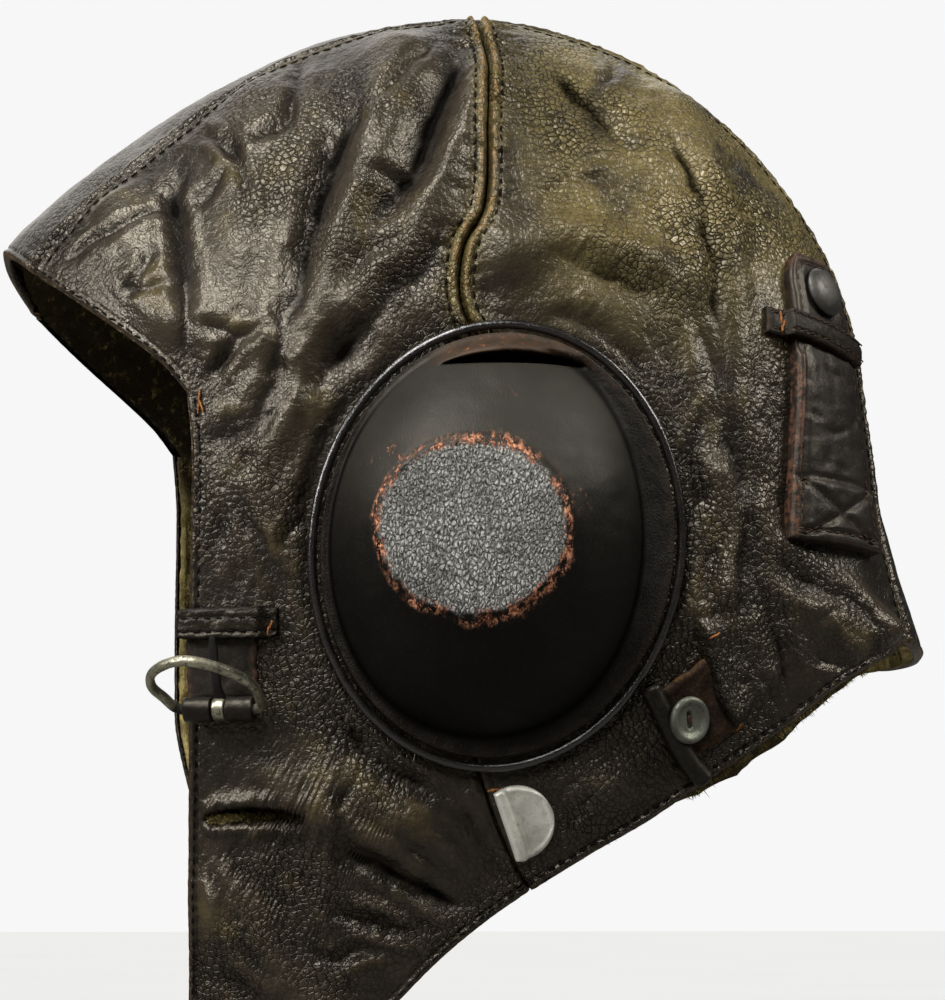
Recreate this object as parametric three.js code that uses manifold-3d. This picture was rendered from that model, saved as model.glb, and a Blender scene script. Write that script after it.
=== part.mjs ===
// A leather flying helmet with a fleece lining and moulded ear domes, in the form it has on a head.
// Millimetres, +Z up. The wearer faces -Y and the wearer's left is +X.
// The origin is where the top of the head touches the lining.
//
// One formula gives the outer face of the leather. Seen from the side, every point has an angle
// about the ear (0 towards the back, 90 up) and a share of the way from the ear to the outline.
// The half-width falls from the ear to the centre line along a superellipse.
import * as THREE from "three";
import { mergeVertices } from "three/addons/utils/BufferGeometryUtils.js";
import Module from "manifold-3d";

const wasm = await Module();
wasm.setup();

// Walls
const LEATHER = 1.6;
const LINING_GAP = 1;
const FLEECE = 2.3;
const GAP = 0.3;
const SEWN_GAP = 0.5;

// Overall form
const EAR = { y: -5, z: -139 };
const HALF_WIDTH = 82;
const SQUARENESS = 2.4;
const REAR_SQUARENESS = 0.4;
const JAW_NARROWING = { share: 0.12, over: 125 };
const BROW_NARROWING = { share: 0.06, over: 90, start: -20 };

// The side outline about the ear, carried on round the open face and throat
const OUTLINE = [
  { angle: -12, reach: 119.5 },
  { angle: -2, reach: 110.5 },
  { angle: 8, reach: 106.5 },
  { angle: 21, reach: 109.3 },
  { angle: 32, reach: 116.3 },
  { angle: 40, reach: 121.8 },
  { angle: 50, reach: 127.8 },
  { angle: 60, reach: 133.6 },
  { angle: 71, reach: 139.2 },
  { angle: 80, reach: 142.2 },
  { angle: 88, reach: 143.9 },
  { angle: 99, reach: 143.2 },
  { angle: 109, reach: 142.2 },
  { angle: 121, reach: 140.6 },
  { angle: 130, reach: 141 },
  { angle: 138, reach: 143 },
  { angle: 146, reach: 145 },
  { angle: 160, reach: 141 },
  { angle: 180, reach: 134 },
  { angle: 200, reach: 134 },
  { angle: 220, reach: 150 },
  { angle: 240, reach: 180 },
  { angle: 255, reach: 194 },
  { angle: 270, reach: 190 },
  { angle: 285, reach: 174 },
  { angle: 300, reach: 156 },
  { angle: 320, reach: 137 },
  { angle: 336, reach: 127 },
];

// Half-width of the centre strip, from the brow over the crown to the nape
const STRIP = [
  { angle: -12, half: 48 },
  { angle: 8, half: 41 },
  { angle: 40, half: 31 },
  { angle: 88, half: 27 },
  { angle: 112, half: 29 },
  { angle: 125, half: 34 },
  { angle: 147, half: 38 },
];

// Free edges, seen from the side
const BROW_EDGE = [
  { y: -125.5, z: -58.3 },
  { y: -120.6, z: -65 },
  { y: -112.7, z: -71.4 },
  { y: -105.3, z: -77.5 },
  { y: -98, z: -83.3 },
  { y: -90.7, z: -89.1 },
  { y: -84.7, z: -94.6 },
  { y: -79.6, z: -101 },
];
const FACE_EDGE = [
  { y: -79.6, z: -101 },
  { y: -78.4, z: -115 },
  { y: -78.6, z: -155 },
  { y: -78.3, z: -200 },
  { y: -77.6, z: -245 },
  { y: -77, z: -281 },
];
const CHIN_TIP = [
  { y: -77, z: -281 },
  { y: -74.5, z: -288.5 },
  { y: -67.5, z: -291 },
  { y: -60, z: -286.5 },
];
const NECK_EDGE = [
  { y: -60, z: -286.5 },
  { y: -43, z: -264 },
  { y: -27.3, z: -246.5 },
  { y: -15.6, z: -234.8 },
  { y: -6.2, z: -227.2 },
  { y: 3.6, z: -220.5 },
  { y: 17.7, z: -212 },
  { y: 31.4, z: -204.2 },
  { y: 41, z: -197.8 },
  { y: 52, z: -190.6 },
  { y: 65.5, z: -181.5 },
  { y: 80, z: -170.8 },
  { y: 89.4, z: -165.3 },
];
const STRIP_BROW = { y: -116.5, z: -68.2 };

// Angles at which the centre strip ends, at its middle and at its sides
const NAPE_END = { middle: -11.3, side: -10.4 };
const BROW_END = { middle: 146.2, side: 147.6 };

// Seams of a side panel, from the ear upwards and from the ear downwards
const CROSS_SEAM = [
  { y: -13.8, z: -80 },
  { y: -13, z: -65.5 },
  { y: -8, z: -56 },
  { y: -6, z: -31.5 },
  { y: -4.6, z: -13.6 },
];
const NECK_SEAM = [
  { y: -7.8, z: -197.8 },
  { y: -0.8, z: -214 },
];
const NECK_SEAM_END = { y: 3.6, z: -220.5 };
const SEAM_HALF_GAP = 0.2;
const CROSS_ANGLE = 90;
const LINING_SPREAD = 0.6;
const LINING_INSET = 1.2;

// Where the seams and the temple meet the ear hole, in degrees round its oval
const CROSS_TURN = 100;
const TEMPLE_TURN = 158;
const NECK_TURN = 268;
const NAPE_TURN = -6;

// Number of facets: rows from the ear hole outwards, and columns along each stretch of rim
const PANEL_ROWS = { temple: 5, all: 9 };
const LINING_ROWS = { temple: 2, all: 6 };
const FRONT_PIECES = { crown: 14, face: 7, tip: 3, neck: 5 };
const REAR_PIECES = { neck: 10, crown: 16 };
const STRIP_PIECES = 5;
const LINING_PIECES = { crown: 15, face: 5, tip: 2, neck: 9 };

// Ear dome: an oval flange, a raised crown and a flat disc set forward of the middle. The slope is
// the width of the crown's side, from the disc to the rim.
const DOME = { across: 43.3, tall: 52.4, lean: 8, wall: 1.8, lift: 0.8 };
const DOME_DISC = { across: 21, tall: 20, forward: 9.3, up: 1.7 };
const DOME_FLANGE = 0.92;
const DOME_CREASE = { turn: 84, half: 24, out: 0.84, wide: 0.07, deep: 2 };
const DOME_PIECES = 24;
const DOME_SLOPE = 26;
const EAR_HOLE = 0.85;

// Height of the dome over the skin, from the disc's edge at 0 to the flange's rim at 1
const DOME_PROFILE = [
  { out: 0, high: 24 },
  { out: 0.07, high: 23.3 },
  { out: 0.3, high: 19.8 },
  { out: 0.6, high: 13.2 },
  { out: 0.82, high: 6.6 },
  { out: 0.92, high: 1.8 },
  { out: 1, high: 1.8 },
];
const WELT = { share: 1.045, radius: 1.5, pieces: 26 };

// Large folds of the leather. They stand outwards, so that the lining stays smooth. Each runs
// from start to end through a bend, seen from the side.
const FOLDS = [
  { start: [-26, -12], bend: [-30, -45], end: [-56, -90], wide: 8, high: 3.2 },
  { start: [-6, -22], bend: [-16, -52], end: [-38, -82], wide: 7, high: 3.0 },
  { start: [-62, -24], bend: [-62, -52], end: [-72, -84], wide: 9, high: 2.2 },
  { start: [-98, -52], bend: [-94, -64], end: [-84, -82], wide: 8, high: 1.8 },
  { start: [-2, -66], bend: [14, -60], end: [38, -72], wide: 8, high: 3.0 },
  { start: [42, -26], bend: [54, -64], end: [60, -108], wide: 8, high: 2.4 },
  { start: [58, -128], bend: [70, -146], end: [92, -158], wide: 5, high: 3.6 },
  { start: [50, -120], bend: [55, -140], end: [46, -156], wide: 4.5, high: 3.2 },
  { start: [-58, -104], bend: [-64, -124], end: [-58, -146], wide: 7, high: 2.4 },
  { start: [-66, -186], bend: [-52, -196], end: [-30, -206], wide: 8, high: 2.4 },
  { start: [-72, -222], bend: [-58, -236], end: [-46, -254], wide: 8, high: 2.2 },
  { start: [12, -200], bend: [26, -196], end: [34, -190], wide: 6, high: 2.0 },
];
const FOLD_STEPS = 6;

// Where something is sewn on, the leather lies flat.
const FLAT_SPOTS = [
  { y: 80, z: -100, wide: 28, tall: 64 },
  { y: -68, z: -166, wide: 25, tall: 28 },
  { y: 43, z: -178, wide: 16, tall: 20 },
  { y: 3, z: -205, wide: 12, tall: 14 },
];

// The right chin flap hangs further back than the left one
const RIGHT_FLAP = { from: -172, over: 36, back: 6, fade: 40 };

// Goggle-strap keeper on each side at the back
const KEEPER = { y: 78.2, z: -100, turn: 85, long: 74, low: 31, top: 18.5, thick: 2.8, tip: 8 };
const KEEPER_LOOP = { y: 75.4, z: -84, turn: -12, wide: 6.5, thick: 1.7 };
const LOOP_STATIONS = { from: -16, raised: -10, lowered: 14.9, to: 16.8, slope: 1.2 };
const SNAP = { up: 27, radius: 6.3, high: 3, base: 1 };

// Chin-strap buckle on the left cheek
const BUCKLE = { y: -70, z: -177, axis: 3.8 };
const BUCKLE_TAB = { wide: 17, long: 20, thick: 1.6, tube: 3, bore: 1.5, notch: 1.9 };
const BUCKLE_WELT = { low: 16.5, high: 24, front: -9, back: 14, thick: 2 };
const RING = { bar: 8.8, wire: 1.2, wide: 12.4, long: 24.2, stands: 57, skew: 2.4 };
const PRONG = { long: 18.6, half: 1.6, curl: 2.8, thick: 1.1, stands: 14 };
const CHEEK_SLIT = { y: -62.5, z: -203, long: 24, high: 4.4 };

// Metal tip of the strap that comes out of the neck seam
const STRAP_TIP = { y: -3.2, z: -205.3, turn: 20, chord: 17, deep: 12, thick: 1.2, roll: 1.3 };

// Buttoned neck tab, with its end folded to a roll
const NECK_TAB = { y: 38, z: -183.6, turn: 38, long: 15, wide: 23.5, thick: 1.5, roll: 2.6 };
const BUTTON = { along: 8.8, across: 0.5, radius: 5.7, thick: 2, hole: 0.75, spread: 1.5 };

const RAD = Math.PI / 180;
const lerp = THREE.MathUtils.lerp;
const smooth = (t) => THREE.MathUtils.smoothstep(t, 0, 1);

// Value of a table at x: a smooth curve through its rows, whose slope at a row is that between
// its neighbours.
function curveThrough(xs, ys, x) {
  let i = 1;
  while (i < xs.length - 3 && x >= xs[i + 1]) i++;
  const h = xs[i + 1] - xs[i];
  const t = (x - xs[i]) / h;
  const slopeIn = ((ys[i + 1] - ys[i - 1]) / (xs[i + 1] - xs[i - 1])) * h;
  const slopeOut = ((ys[i + 2] - ys[i]) / (xs[i + 2] - xs[i])) * h;
  return (
    (2 * t ** 3 - 3 * t ** 2 + 1) * ys[i] +
    (t ** 3 - 2 * t ** 2 + t) * slopeIn +
    (-2 * t ** 3 + 3 * t ** 2) * ys[i + 1] +
    (t ** 3 - t ** 2) * slopeOut
  );
}

const OUTLINE_LAST = OUTLINE[OUTLINE.length - 1];
const OUTLINE_ANGLES = [
  OUTLINE_LAST.angle - 360,
  ...OUTLINE.map((row) => row.angle),
  OUTLINE[0].angle + 360,
  OUTLINE[1].angle + 360,
];
const OUTLINE_REACHES = [
  OUTLINE_LAST.reach,
  ...OUTLINE.map((row) => row.reach),
  OUTLINE[0].reach,
  OUTLINE[1].reach,
];

// Distance from the ear to the outline at an angle in degrees
function reachAt(angle) {
  const turned = THREE.MathUtils.euclideanModulo(angle - OUTLINE[0].angle, 360);
  return curveThrough(OUTLINE_ANGLES, OUTLINE_REACHES, turned + OUTLINE[0].angle);
}

function stripHalf(angle) {
  const first = STRIP[0];
  const last = STRIP[STRIP.length - 1];
  const xs = [first.angle - 10, ...STRIP.map((row) => row.angle), last.angle + 10];
  const ys = [first.half, ...STRIP.map((row) => row.half), last.half];
  return curveThrough(xs, ys, angle);
}

const squareness = (angle) =>
  SQUARENESS + REAR_SQUARENESS * Math.max(0, Math.cos(angle * RAD)) ** 2;

// The head narrows towards the jaw and the brow.
function halfWidthAt(y, z) {
  const jaw = 1 - JAW_NARROWING.share * smooth((EAR.z - z) / JAW_NARROWING.over);
  const brow = 1 - BROW_NARROWING.share * smooth((BROW_NARROWING.start - y) / BROW_NARROWING.over);
  return HALF_WIDTH * jaw * brow;
}

const angleOf = (y, z) => Math.atan2(z - EAR.z, y - EAR.y) / RAD;

// Below zero inside the leather's outer face and above zero outside it
function outsideness(p) {
  const angle = angleOf(p.y, p.z);
  const n = squareness(angle);
  const share = Math.hypot(p.y - EAR.y, p.z - EAR.z) / reachAt(angle);
  return (Math.abs(p.x) / halfWidthAt(p.y, p.z)) ** n + share ** n - 1;
}

function normalAt(p) {
  const step = 0.05;
  const slope = (x, y, z) =>
    outsideness(new THREE.Vector3(p.x + x, p.y + y, p.z + z)) -
    outsideness(new THREE.Vector3(p.x - x, p.y - y, p.z - z));
  return new THREE.Vector3(slope(step, 0, 0), slope(0, step, 0), slope(0, 0, step)).normalize();
}

// The pattern pieces are drawn on a flat disc: its middle is the ear and its rim the centre line.
function skinFromDisc([u, v]) {
  const around = Math.min(1, Math.hypot(u, v)) * 90 * RAD;
  const angle = Math.atan2(v, u) / RAD;
  const power = 2 / squareness(angle);
  const out = Math.sin(around) ** power * reachAt(angle);
  const y = EAR.y + out * Math.cos(angle * RAD);
  const z = EAR.z + out * Math.sin(angle * RAD);
  return new THREE.Vector3(halfWidthAt(y, z) * Math.max(0, Math.cos(around)) ** power, y, z);
}

function discFromSide({ y, z }) {
  const angle = angleOf(y, z);
  const share = Math.min(1, Math.hypot(y - EAR.y, z - EAR.z) / reachAt(angle));
  const around = Math.asin(share ** (squareness(angle) / 2)) / (90 * RAD);
  return [around * Math.cos(angle * RAD), around * Math.sin(angle * RAD)];
}

// The disc point at an angle whose skin lies x to the side of the centre line
function discFromHalf(angle, x) {
  let around = 1;
  for (let pass = 0; pass < 6; pass++) {
    const p = skinFromDisc([around * Math.cos(angle * RAD), around * Math.sin(angle * RAD)]);
    const cosine = (x / halfWidthAt(p.y, p.z)) ** (squareness(angle) / 2);
    around = Math.acos(Math.min(1, cosine)) / (90 * RAD);
  }
  return [around * Math.cos(angle * RAD), around * Math.sin(angle * RAD)];
}

// Points spread evenly along a smooth curve on the skin, given and returned as seen from the side
function sideCurve(rows, pieces) {
  const curve = new THREE.CatmullRomCurve3(
    rows.map((row) => skinFromDisc(discFromSide(row))),
    false,
    "centripetal",
  );
  return curve.getSpacedPoints(pieces).map((p) => ({ y: p.y, z: p.z }));
}

// A point of an oval about the ear, at a share of the dome's size
function domeOval(turn, share) {
  const across = DOME.across * share * Math.cos(turn * RAD);
  const tall = DOME.tall * share * Math.sin(turn * RAD);
  const lean = -DOME.lean * RAD;
  return {
    y: EAR.y + across * Math.cos(lean) - tall * Math.sin(lean),
    z: EAR.z + across * Math.sin(lean) + tall * Math.cos(lean),
  };
}

function domeShare(y, z) {
  const lean = DOME.lean * RAD;
  const across = (y - EAR.y) * Math.cos(lean) - (z - EAR.z) * Math.sin(lean);
  const tall = (y - EAR.y) * Math.sin(lean) + (z - EAR.z) * Math.cos(lean);
  return Math.hypot(across / DOME.across, tall / DOME.tall);
}

function distanceToFold(fold, y, z) {
  let nearest = Infinity;
  let before = fold.start;
  for (let i = 1; i <= FOLD_STEPS; i++) {
    const t = i / FOLD_STEPS;
    const here = [0, 1].map(
      (k) => (1 - t) ** 2 * fold.start[k] + 2 * t * (1 - t) * fold.bend[k] + t ** 2 * fold.end[k],
    );
    const run = [here[0] - before[0], here[1] - before[1]];
    const along = ((y - before[0]) * run[0] + (z - before[1]) * run[1]) / (run[0] ** 2 + run[1] ** 2);
    const held = THREE.MathUtils.clamp(along, 0, 1);
    const away = Math.hypot(y - before[0] - held * run[0], z - before[1] - held * run[1]);
    nearest = Math.min(nearest, away);
    before = here;
  }
  return nearest;
}

// Height of the folds over the bare skin. It fades out at the dome and in the flat spots.
function foldHeight(y, z) {
  const sum = FOLDS.reduce(
    (all, fold) => all + fold.high * Math.exp(-((distanceToFold(fold, y, z) / fold.wide) ** 2)),
    0,
  );
  const offDome = smooth((domeShare(y, z) - 1.02) / 0.16);
  const offParts = FLAT_SPOTS.reduce(
    (all, spot) => all * smooth(Math.hypot((y - spot.y) / spot.wide, (z - spot.z) / spot.tall) - 0.6),
    1,
  );
  return sum * offDome * offParts;
}

// Points that coincide become one, and triangles that have closed up are dropped.
function welded(geometry) {
  const bare = geometry.clone();
  for (const name of Object.keys(bare.attributes)) if (name !== "position") bare.deleteAttribute(name);
  const merged = mergeVertices(bare, 1e-4);
  const index = Array.from(merged.index.array);
  const corners = index.flatMap((_, i) => (i % 3 ? [] : [index.slice(i, i + 3)]));
  merged.setIndex(corners.filter((tri) => new Set(tri).size === 3).flat());
  merged.computeVertexNormals();
  return merged;
}

function geometryOf(points, triangles) {
  const geometry = new THREE.BufferGeometry().setFromPoints(points);
  geometry.setIndex(triangles.flat());
  return welded(geometry);
}

// A closed solid between two grids of points with the same rows and columns: outer[row][column]
// and inner[row][column]. With ring true the last column joins the first.
function between(outer, inner, ring = false) {
  const rows = outer.length;
  const columns = outer[0].length;
  const triangles = [];
  const at = (layer, r, c) => layer * rows * columns + r * columns + (c % columns);
  const quad = (a, b, c, d) => triangles.push([a, b, c], [a, c, d]);
  const last = ring ? columns : columns - 1;
  for (let c = 0; c < last; c++) {
    for (let r = 0; r < rows - 1; r++) {
      quad(at(0, r, c), at(0, r + 1, c), at(0, r + 1, c + 1), at(0, r, c + 1));
      quad(at(1, r, c), at(1, r, c + 1), at(1, r + 1, c + 1), at(1, r + 1, c));
    }
    quad(at(0, 0, c), at(0, 0, c + 1), at(1, 0, c + 1), at(1, 0, c));
    quad(at(0, rows - 1, c), at(1, rows - 1, c), at(1, rows - 1, c + 1), at(0, rows - 1, c + 1));
  }
  if (!ring)
    for (let r = 0; r < rows - 1; r++) {
      quad(at(0, r, 0), at(1, r, 0), at(1, r + 1, 0), at(0, r + 1, 0));
      quad(at(0, r, last), at(0, r + 1, last), at(1, r + 1, last), at(1, r, last));
    }
  return geometryOf([outer, inner].flat(2), triangles);
}

// A closed wall under sheets of skin points that join where their borders coincide. Depths are
// measured down from the bare skin, and lift adds the folds to both faces.
function wallUnder(sheets, top, bottom, lift = () => 0) {
  const points = sheets.flat(2);
  const quads = [];
  let first = 0;
  for (const sheet of sheets) {
    const columns = sheet[0].length;
    for (let r = 0; r < sheet.length - 1; r++)
      for (let c = 0; c < columns - 1; c++) {
        const [a, b] = [first + r * columns + c, first + (r + 1) * columns + c];
        quads.push([a, b, b + 1], [a, b + 1, a + 1]);
      }
    first += sheet.length * columns;
  }
  const skin = geometryOf(points, quads);
  const index = Array.from(skin.index.array);
  const count = skin.attributes.position.count;
  const moved = (depth) =>
    Array.from({ length: count }, (_, i) => {
      const p = new THREE.Vector3().fromBufferAttribute(skin.attributes.position, i);
      return p.clone().addScaledVector(normalAt(p), lift(p) - depth);
    });
  const triangles = [];
  const edges = new Map();
  for (let i = 0; i < index.length; i += 3) {
    const [a, b, c] = index.slice(i, i + 3);
    triangles.push([a, b, c], [a + count, c + count, b + count]);
    for (const [from, to] of [[a, b], [b, c], [c, a]]) edges.set(`${from} ${to}`, [from, to]);
  }
  for (const [from, to] of edges.values())
    if (!edges.has(`${to} ${from}`))
      triangles.push([to, from, from + count], [to, from + count, to + count]);
  return geometryOf([...moved(top), ...moved(bottom)], triangles);
}

const mix = (a, b, t) => [lerp(a[0], b[0], t), lerp(a[1], b[1], t)];

// How far along a row of disc points each one lies, as a share of the whole
function sharesAlong(points) {
  const runs = [0];
  for (let i = 1; i < points.length; i++) {
    const [across, up] = [0, 1].map((k) => points[i][k] - points[i - 1][k]);
    runs.push(runs[i - 1] + Math.hypot(across, up));
  }
  return runs.map((run) => run / runs[runs.length - 1]);
}

// A patch of disc points between four borders. Each column runs straight from the ear to the rim,
// plus the bends of the first and last borders in proportion.
function patch(ear, rim, first, last) {
  const columns = rim.length - 1;
  const shares = [sharesAlong(first), sharesAlong(last)];
  return first.map((_, r) => {
    const straight = [mix(ear[0], rim[0], shares[0][r]), mix(ear[columns], rim[columns], shares[1][r])];
    return rim.map((_, c) => {
      const t = c / columns;
      const base = mix(ear[c], rim[c], lerp(shares[0][r], shares[1][r], t));
      return [0, 1].map(
        (k) => base[k] + (1 - t) * (first[r][k] - straight[0][k]) + t * (last[r][k] - straight[1][k]),
      );
    });
  });
}

const earHole = (turn) => discFromSide(domeOval(turn, EAR_HOLE));

// One point of the ear hole for each rim point. Half of its place comes from the rim point's angle
// and half from its number, so that the columns neither cross nor crowd.
function earRow(from, to, rim) {
  const start = Math.atan2(rim[0][1], rim[0][0]) / RAD;
  const swept = rim.map(([u, v]) =>
    THREE.MathUtils.euclideanModulo(Math.atan2(v, u) / RAD - start + 1, 360) - 1,
  );
  return rim.map((_, i) =>
    earHole(lerp(from, to, 0.5 * (swept[i] / swept.at(-1)) + (0.5 * i) / (rim.length - 1))),
  );
}

// A seam from the ear hole out to the rim, half a gap to one side of its line, in even steps
function seamBorder(line, sideways, ear, rim) {
  const bends = line.map((p) => discFromSide({ y: p.y + sideways, z: p.z }));
  const curve = new THREE.CatmullRomCurve3(
    [ear, ...bends, rim].map(([u, v]) => new THREE.Vector3(u, v, 0)),
    false,
    "centripetal",
  );
  const points = curve.getSpacedPoints(PANEL_ROWS.all).map((p) => [p.x, p.y]);
  return [ear, ...points.slice(1, -1), rim];
}

// From the ear hole to the temple and then up the brow edge
function browBorder(line, rows, corner) {
  const up = sideCurve([...line].reverse(), rows.all - rows.temple).map(discFromSide);
  const ear = earHole(TEMPLE_TURN);
  const front = steps(rows.temple, 0, 1).map((t) => mix(ear, up[0], t));
  return [...front, ...up.slice(1, -1), corner];
}

// The same from the cheek's side: past the temple its rows start from one point.
const templeBorder = (brow, rows) => brow.map((_, r) => brow[Math.min(r, rows.temple)]);

function steps(count, from, to) {
  return Array.from({ length: count + 1 }, (_, i) => lerp(from, to, i / count));
}

const REAR_CROWN = steps(REAR_PIECES.crown, NAPE_END.side, CROSS_ANGLE - 0.1);
const FRONT_CROWN = steps(FRONT_PIECES.crown, CROSS_ANGLE + 0.1, BROW_END.side);
const besideStrip = (angles) =>
  angles.map((angle) => discFromHalf(angle, stripHalf(angle) + SEAM_HALF_GAP));

// The front side panel: over the crown from the cross seam to the brow edge, and down the cheek
// from there to the neck seam
function frontPanelGrids() {
  const crown = besideStrip(FRONT_CROWN);
  const browLine = [STRIP_BROW, ...BROW_EDGE.filter((p) => p.y > STRIP_BROW.y)];
  const brow = browBorder(browLine, PANEL_ROWS, crown.at(-1));
  const neckEnd = { y: NECK_SEAM_END.y - SEAM_HALF_GAP, z: NECK_SEAM_END.z };
  const neckRows = [...NECK_EDGE.filter((p) => p.y < neckEnd.y), neckEnd];
  const cheek = [
    ...sideCurve(FACE_EDGE, FRONT_PIECES.face),
    ...sideCurve(CHIN_TIP, FRONT_PIECES.tip).slice(1),
    ...sideCurve(neckRows, FRONT_PIECES.neck).slice(1),
  ].map(discFromSide);
  const crownEar = earRow(CROSS_TURN, TEMPLE_TURN, crown);
  const cheekEar = earRow(TEMPLE_TURN, NECK_TURN, cheek);
  const cross = seamBorder(CROSS_SEAM, -SEAM_HALF_GAP, crownEar[0], crown[0]);
  const neck = seamBorder(NECK_SEAM, -SEAM_HALF_GAP, cheekEar.at(-1), cheek.at(-1));
  const temple = templeBorder(brow, PANEL_ROWS);
  return [patch(crownEar, crown, cross, brow), patch(cheekEar, cheek, temple, neck)];
}

// The rear side panel, from the neck seam over the neck edge to the cross seam
function rearPanelGrids() {
  const crown = besideStrip(REAR_CROWN);
  const neckRows = [
    { y: NECK_SEAM_END.y + SEAM_HALF_GAP, z: NECK_SEAM_END.z },
    ...NECK_EDGE.filter((p) => p.y > NECK_SEAM_END.y + 1),
    skinFromDisc(crown[0]),
  ];
  const rim = [...sideCurve(neckRows, REAR_PIECES.neck).slice(0, -1).map(discFromSide), ...crown];
  const ear = earRow(NECK_TURN - 359, CROSS_TURN - 1, rim);
  const neck = seamBorder(NECK_SEAM, SEAM_HALF_GAP, ear[0], rim[0]);
  const cross = seamBorder(CROSS_SEAM, SEAM_HALF_GAP, ear.at(-1), rim.at(-1));
  return [patch(ear, rim, neck, cross)];
}

// Angle of the strip's end edge at x to the side of the centre line
function endAngle(end, x) {
  return lerp(end.middle, end.side, (x / stripHalf(end.side)) ** 2);
}

// The centre strip, from the nape over the crown to the brow, in step with the side panels
function stripGrid() {
  return [...REAR_CROWN.slice(0, -1), CROSS_ANGLE, ...FRONT_CROWN.slice(1)].map((edgeAngle) =>
    steps(STRIP_PIECES, -1, 1).map((side) => {
      const x = Math.abs(side) * (stripHalf(edgeAngle) - SEAM_HALF_GAP);
      const t = (edgeAngle - NAPE_END.side) / (BROW_END.side - NAPE_END.side);
      const angle = lerp(endAngle(NAPE_END, x), endAngle(BROW_END, x), t);
      const p = skinFromDisc(discFromHalf(angle, x));
      return p.setX(Math.sign(side) * p.x);
    }),
  );
}

// Half of the lining: a ring about the ear hole, out to the centre line and the free edges
function liningGrids() {
  const inset = (rows) =>
    rows.map(({ y, z }) => {
      const out = Math.hypot(y - EAR.y, z - EAR.z);
      const share = (out - LINING_INSET) / out;
      return { y: EAR.y + (y - EAR.y) * share, z: EAR.z + (z - EAR.z) * share };
    });
  const nape = (x) => discFromHalf(endAngle(NAPE_END, x) + LINING_SPREAD, x);
  const crown = steps(
    LINING_PIECES.crown,
    NAPE_END.middle + LINING_SPREAD,
    BROW_END.middle - LINING_SPREAD,
  ).map((angle) => discFromHalf(angle, SEAM_HALF_GAP));
  const brow = browBorder(inset(BROW_EDGE), LINING_ROWS, crown.at(-1));
  const cheek = [
    ...sideCurve(inset(FACE_EDGE), LINING_PIECES.face),
    ...sideCurve(inset(CHIN_TIP), LINING_PIECES.tip).slice(1),
    ...sideCurve(inset(NECK_EDGE), LINING_PIECES.neck).slice(1),
  ].map(discFromSide);
  cheek.push(...steps(4, 48, 0).slice(0, -1).map(nape), crown[0]);
  const back = steps(LINING_ROWS.all, 0, 1).map((t) => mix(earHole(NAPE_TURN), crown[0], t));
  return [
    patch(earRow(NAPE_TURN, TEMPLE_TURN, crown), crown, back, brow),
    patch(earRow(TEMPLE_TURN, NAPE_TURN + 360, cheek), cheek, templeBorder(brow, LINING_ROWS), back),
  ];
}

// A point of the dome's outer face, or of its hollow when sunk. A ring below zero lies inside the
// disc, which fills it down to its middle at minus one.
function domePoint(turn, out, sink) {
  const middle = { y: EAR.y - DOME_DISC.forward, z: EAR.z + DOME_DISC.up };
  const disc = {
    y: middle.y + DOME_DISC.across * Math.cos(turn * RAD),
    z: middle.z + DOME_DISC.tall * Math.sin(turn * RAD),
  };
  const rim = domeOval(turn, 1);
  const [from, to, t] = out < 0 ? [middle, disc, 1 + out] : [disc, rim, out];
  const [y, z] = [lerp(from.y, to.y, t), lerp(from.z, to.z, t)];
  const across = Math.abs(THREE.MathUtils.euclideanModulo(turn - DOME_CREASE.turn + 180, 360) - 180);
  const dent =
    DOME_CREASE.deep *
    Math.exp(-(((out - DOME_CREASE.out) / DOME_CREASE.wide) ** 2) - (across / DOME_CREASE.half) ** 4);
  const base = skinFromDisc(discFromSide({ y, z }));
  return new THREE.Vector3(base.x + DOME.lift + domeHigh(out) - dent - sink, y, z);
}

function domeHigh(out) {
  if (out < 0) return DOME_PROFILE[0].high;
  const after = DOME_PROFILE.findIndex((row, i) => i > 0 && row.out >= out);
  const [a, b] = [DOME_PROFILE[after - 1], DOME_PROFILE[after]];
  return lerp(a.high, b.high, (out - a.out) / (b.out - a.out));
}

function earDome() {
  const turns = steps(DOME_PIECES, 0, 360).slice(0, -1);
  const rings = [-1, ...DOME_PROFILE.map((row) => row.out)];
  const outer = rings.map((out) => turns.map((turn) => domePoint(turn, out, 0)));
  const inner = rings.map((out) => {
    const flange = out >= DOME_FLANGE;
    const drawn = flange ? out : Math.max(-1, out - (out > 0 ? DOME.wall / DOME_SLOPE : 0));
    return turns.map((turn) => domePoint(turn, drawn, flange ? domeHigh(out) : DOME.wall));
  });
  return between(outer, inner, true);
}

// A closed wire of round section through points, bent about a plane whose normal is given
function wireLoop(points, planeNormal, radius, sides) {
  const count = points.length;
  const rings = points.map((p, i) => {
    const run = points[(i + 1) % count].clone().sub(points[(i + count - 1) % count]).normalize();
    const out = run.clone().cross(planeNormal).normalize();
    return Array.from({ length: sides }, (_, k) => {
      const turn = (k / sides) * 2 * Math.PI;
      return p
        .clone()
        .addScaledVector(out, radius * Math.cos(turn))
        .addScaledVector(planeNormal, radius * Math.sin(turn));
    });
  });
  const triangles = [];
  for (let i = 0; i < count; i++)
    for (let k = 0; k < sides; k++) {
      const [a, b] = [i * sides + k, i * sides + ((k + 1) % sides)];
      const [c, d] = [((i + 1) % count) * sides + k, ((i + 1) % count) * sides + ((k + 1) % sides)];
      triangles.push([a, d, b], [a, c, d]);
    }
  return geometryOf(rings.flat(), triangles);
}

function earWelt() {
  const points = steps(WELT.pieces, 0, 360)
    .slice(0, -1)
    .map((turn) => {
      const p = skinFromDisc(discFromSide(domeOval(turn, WELT.share)));
      return p.addScaledVector(normalAt(p), WELT.radius + GAP + 0.15);
    });
  return wireLoop(points, new THREE.Vector3(1, 0, 0), WELT.radius, 5);
}

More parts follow.
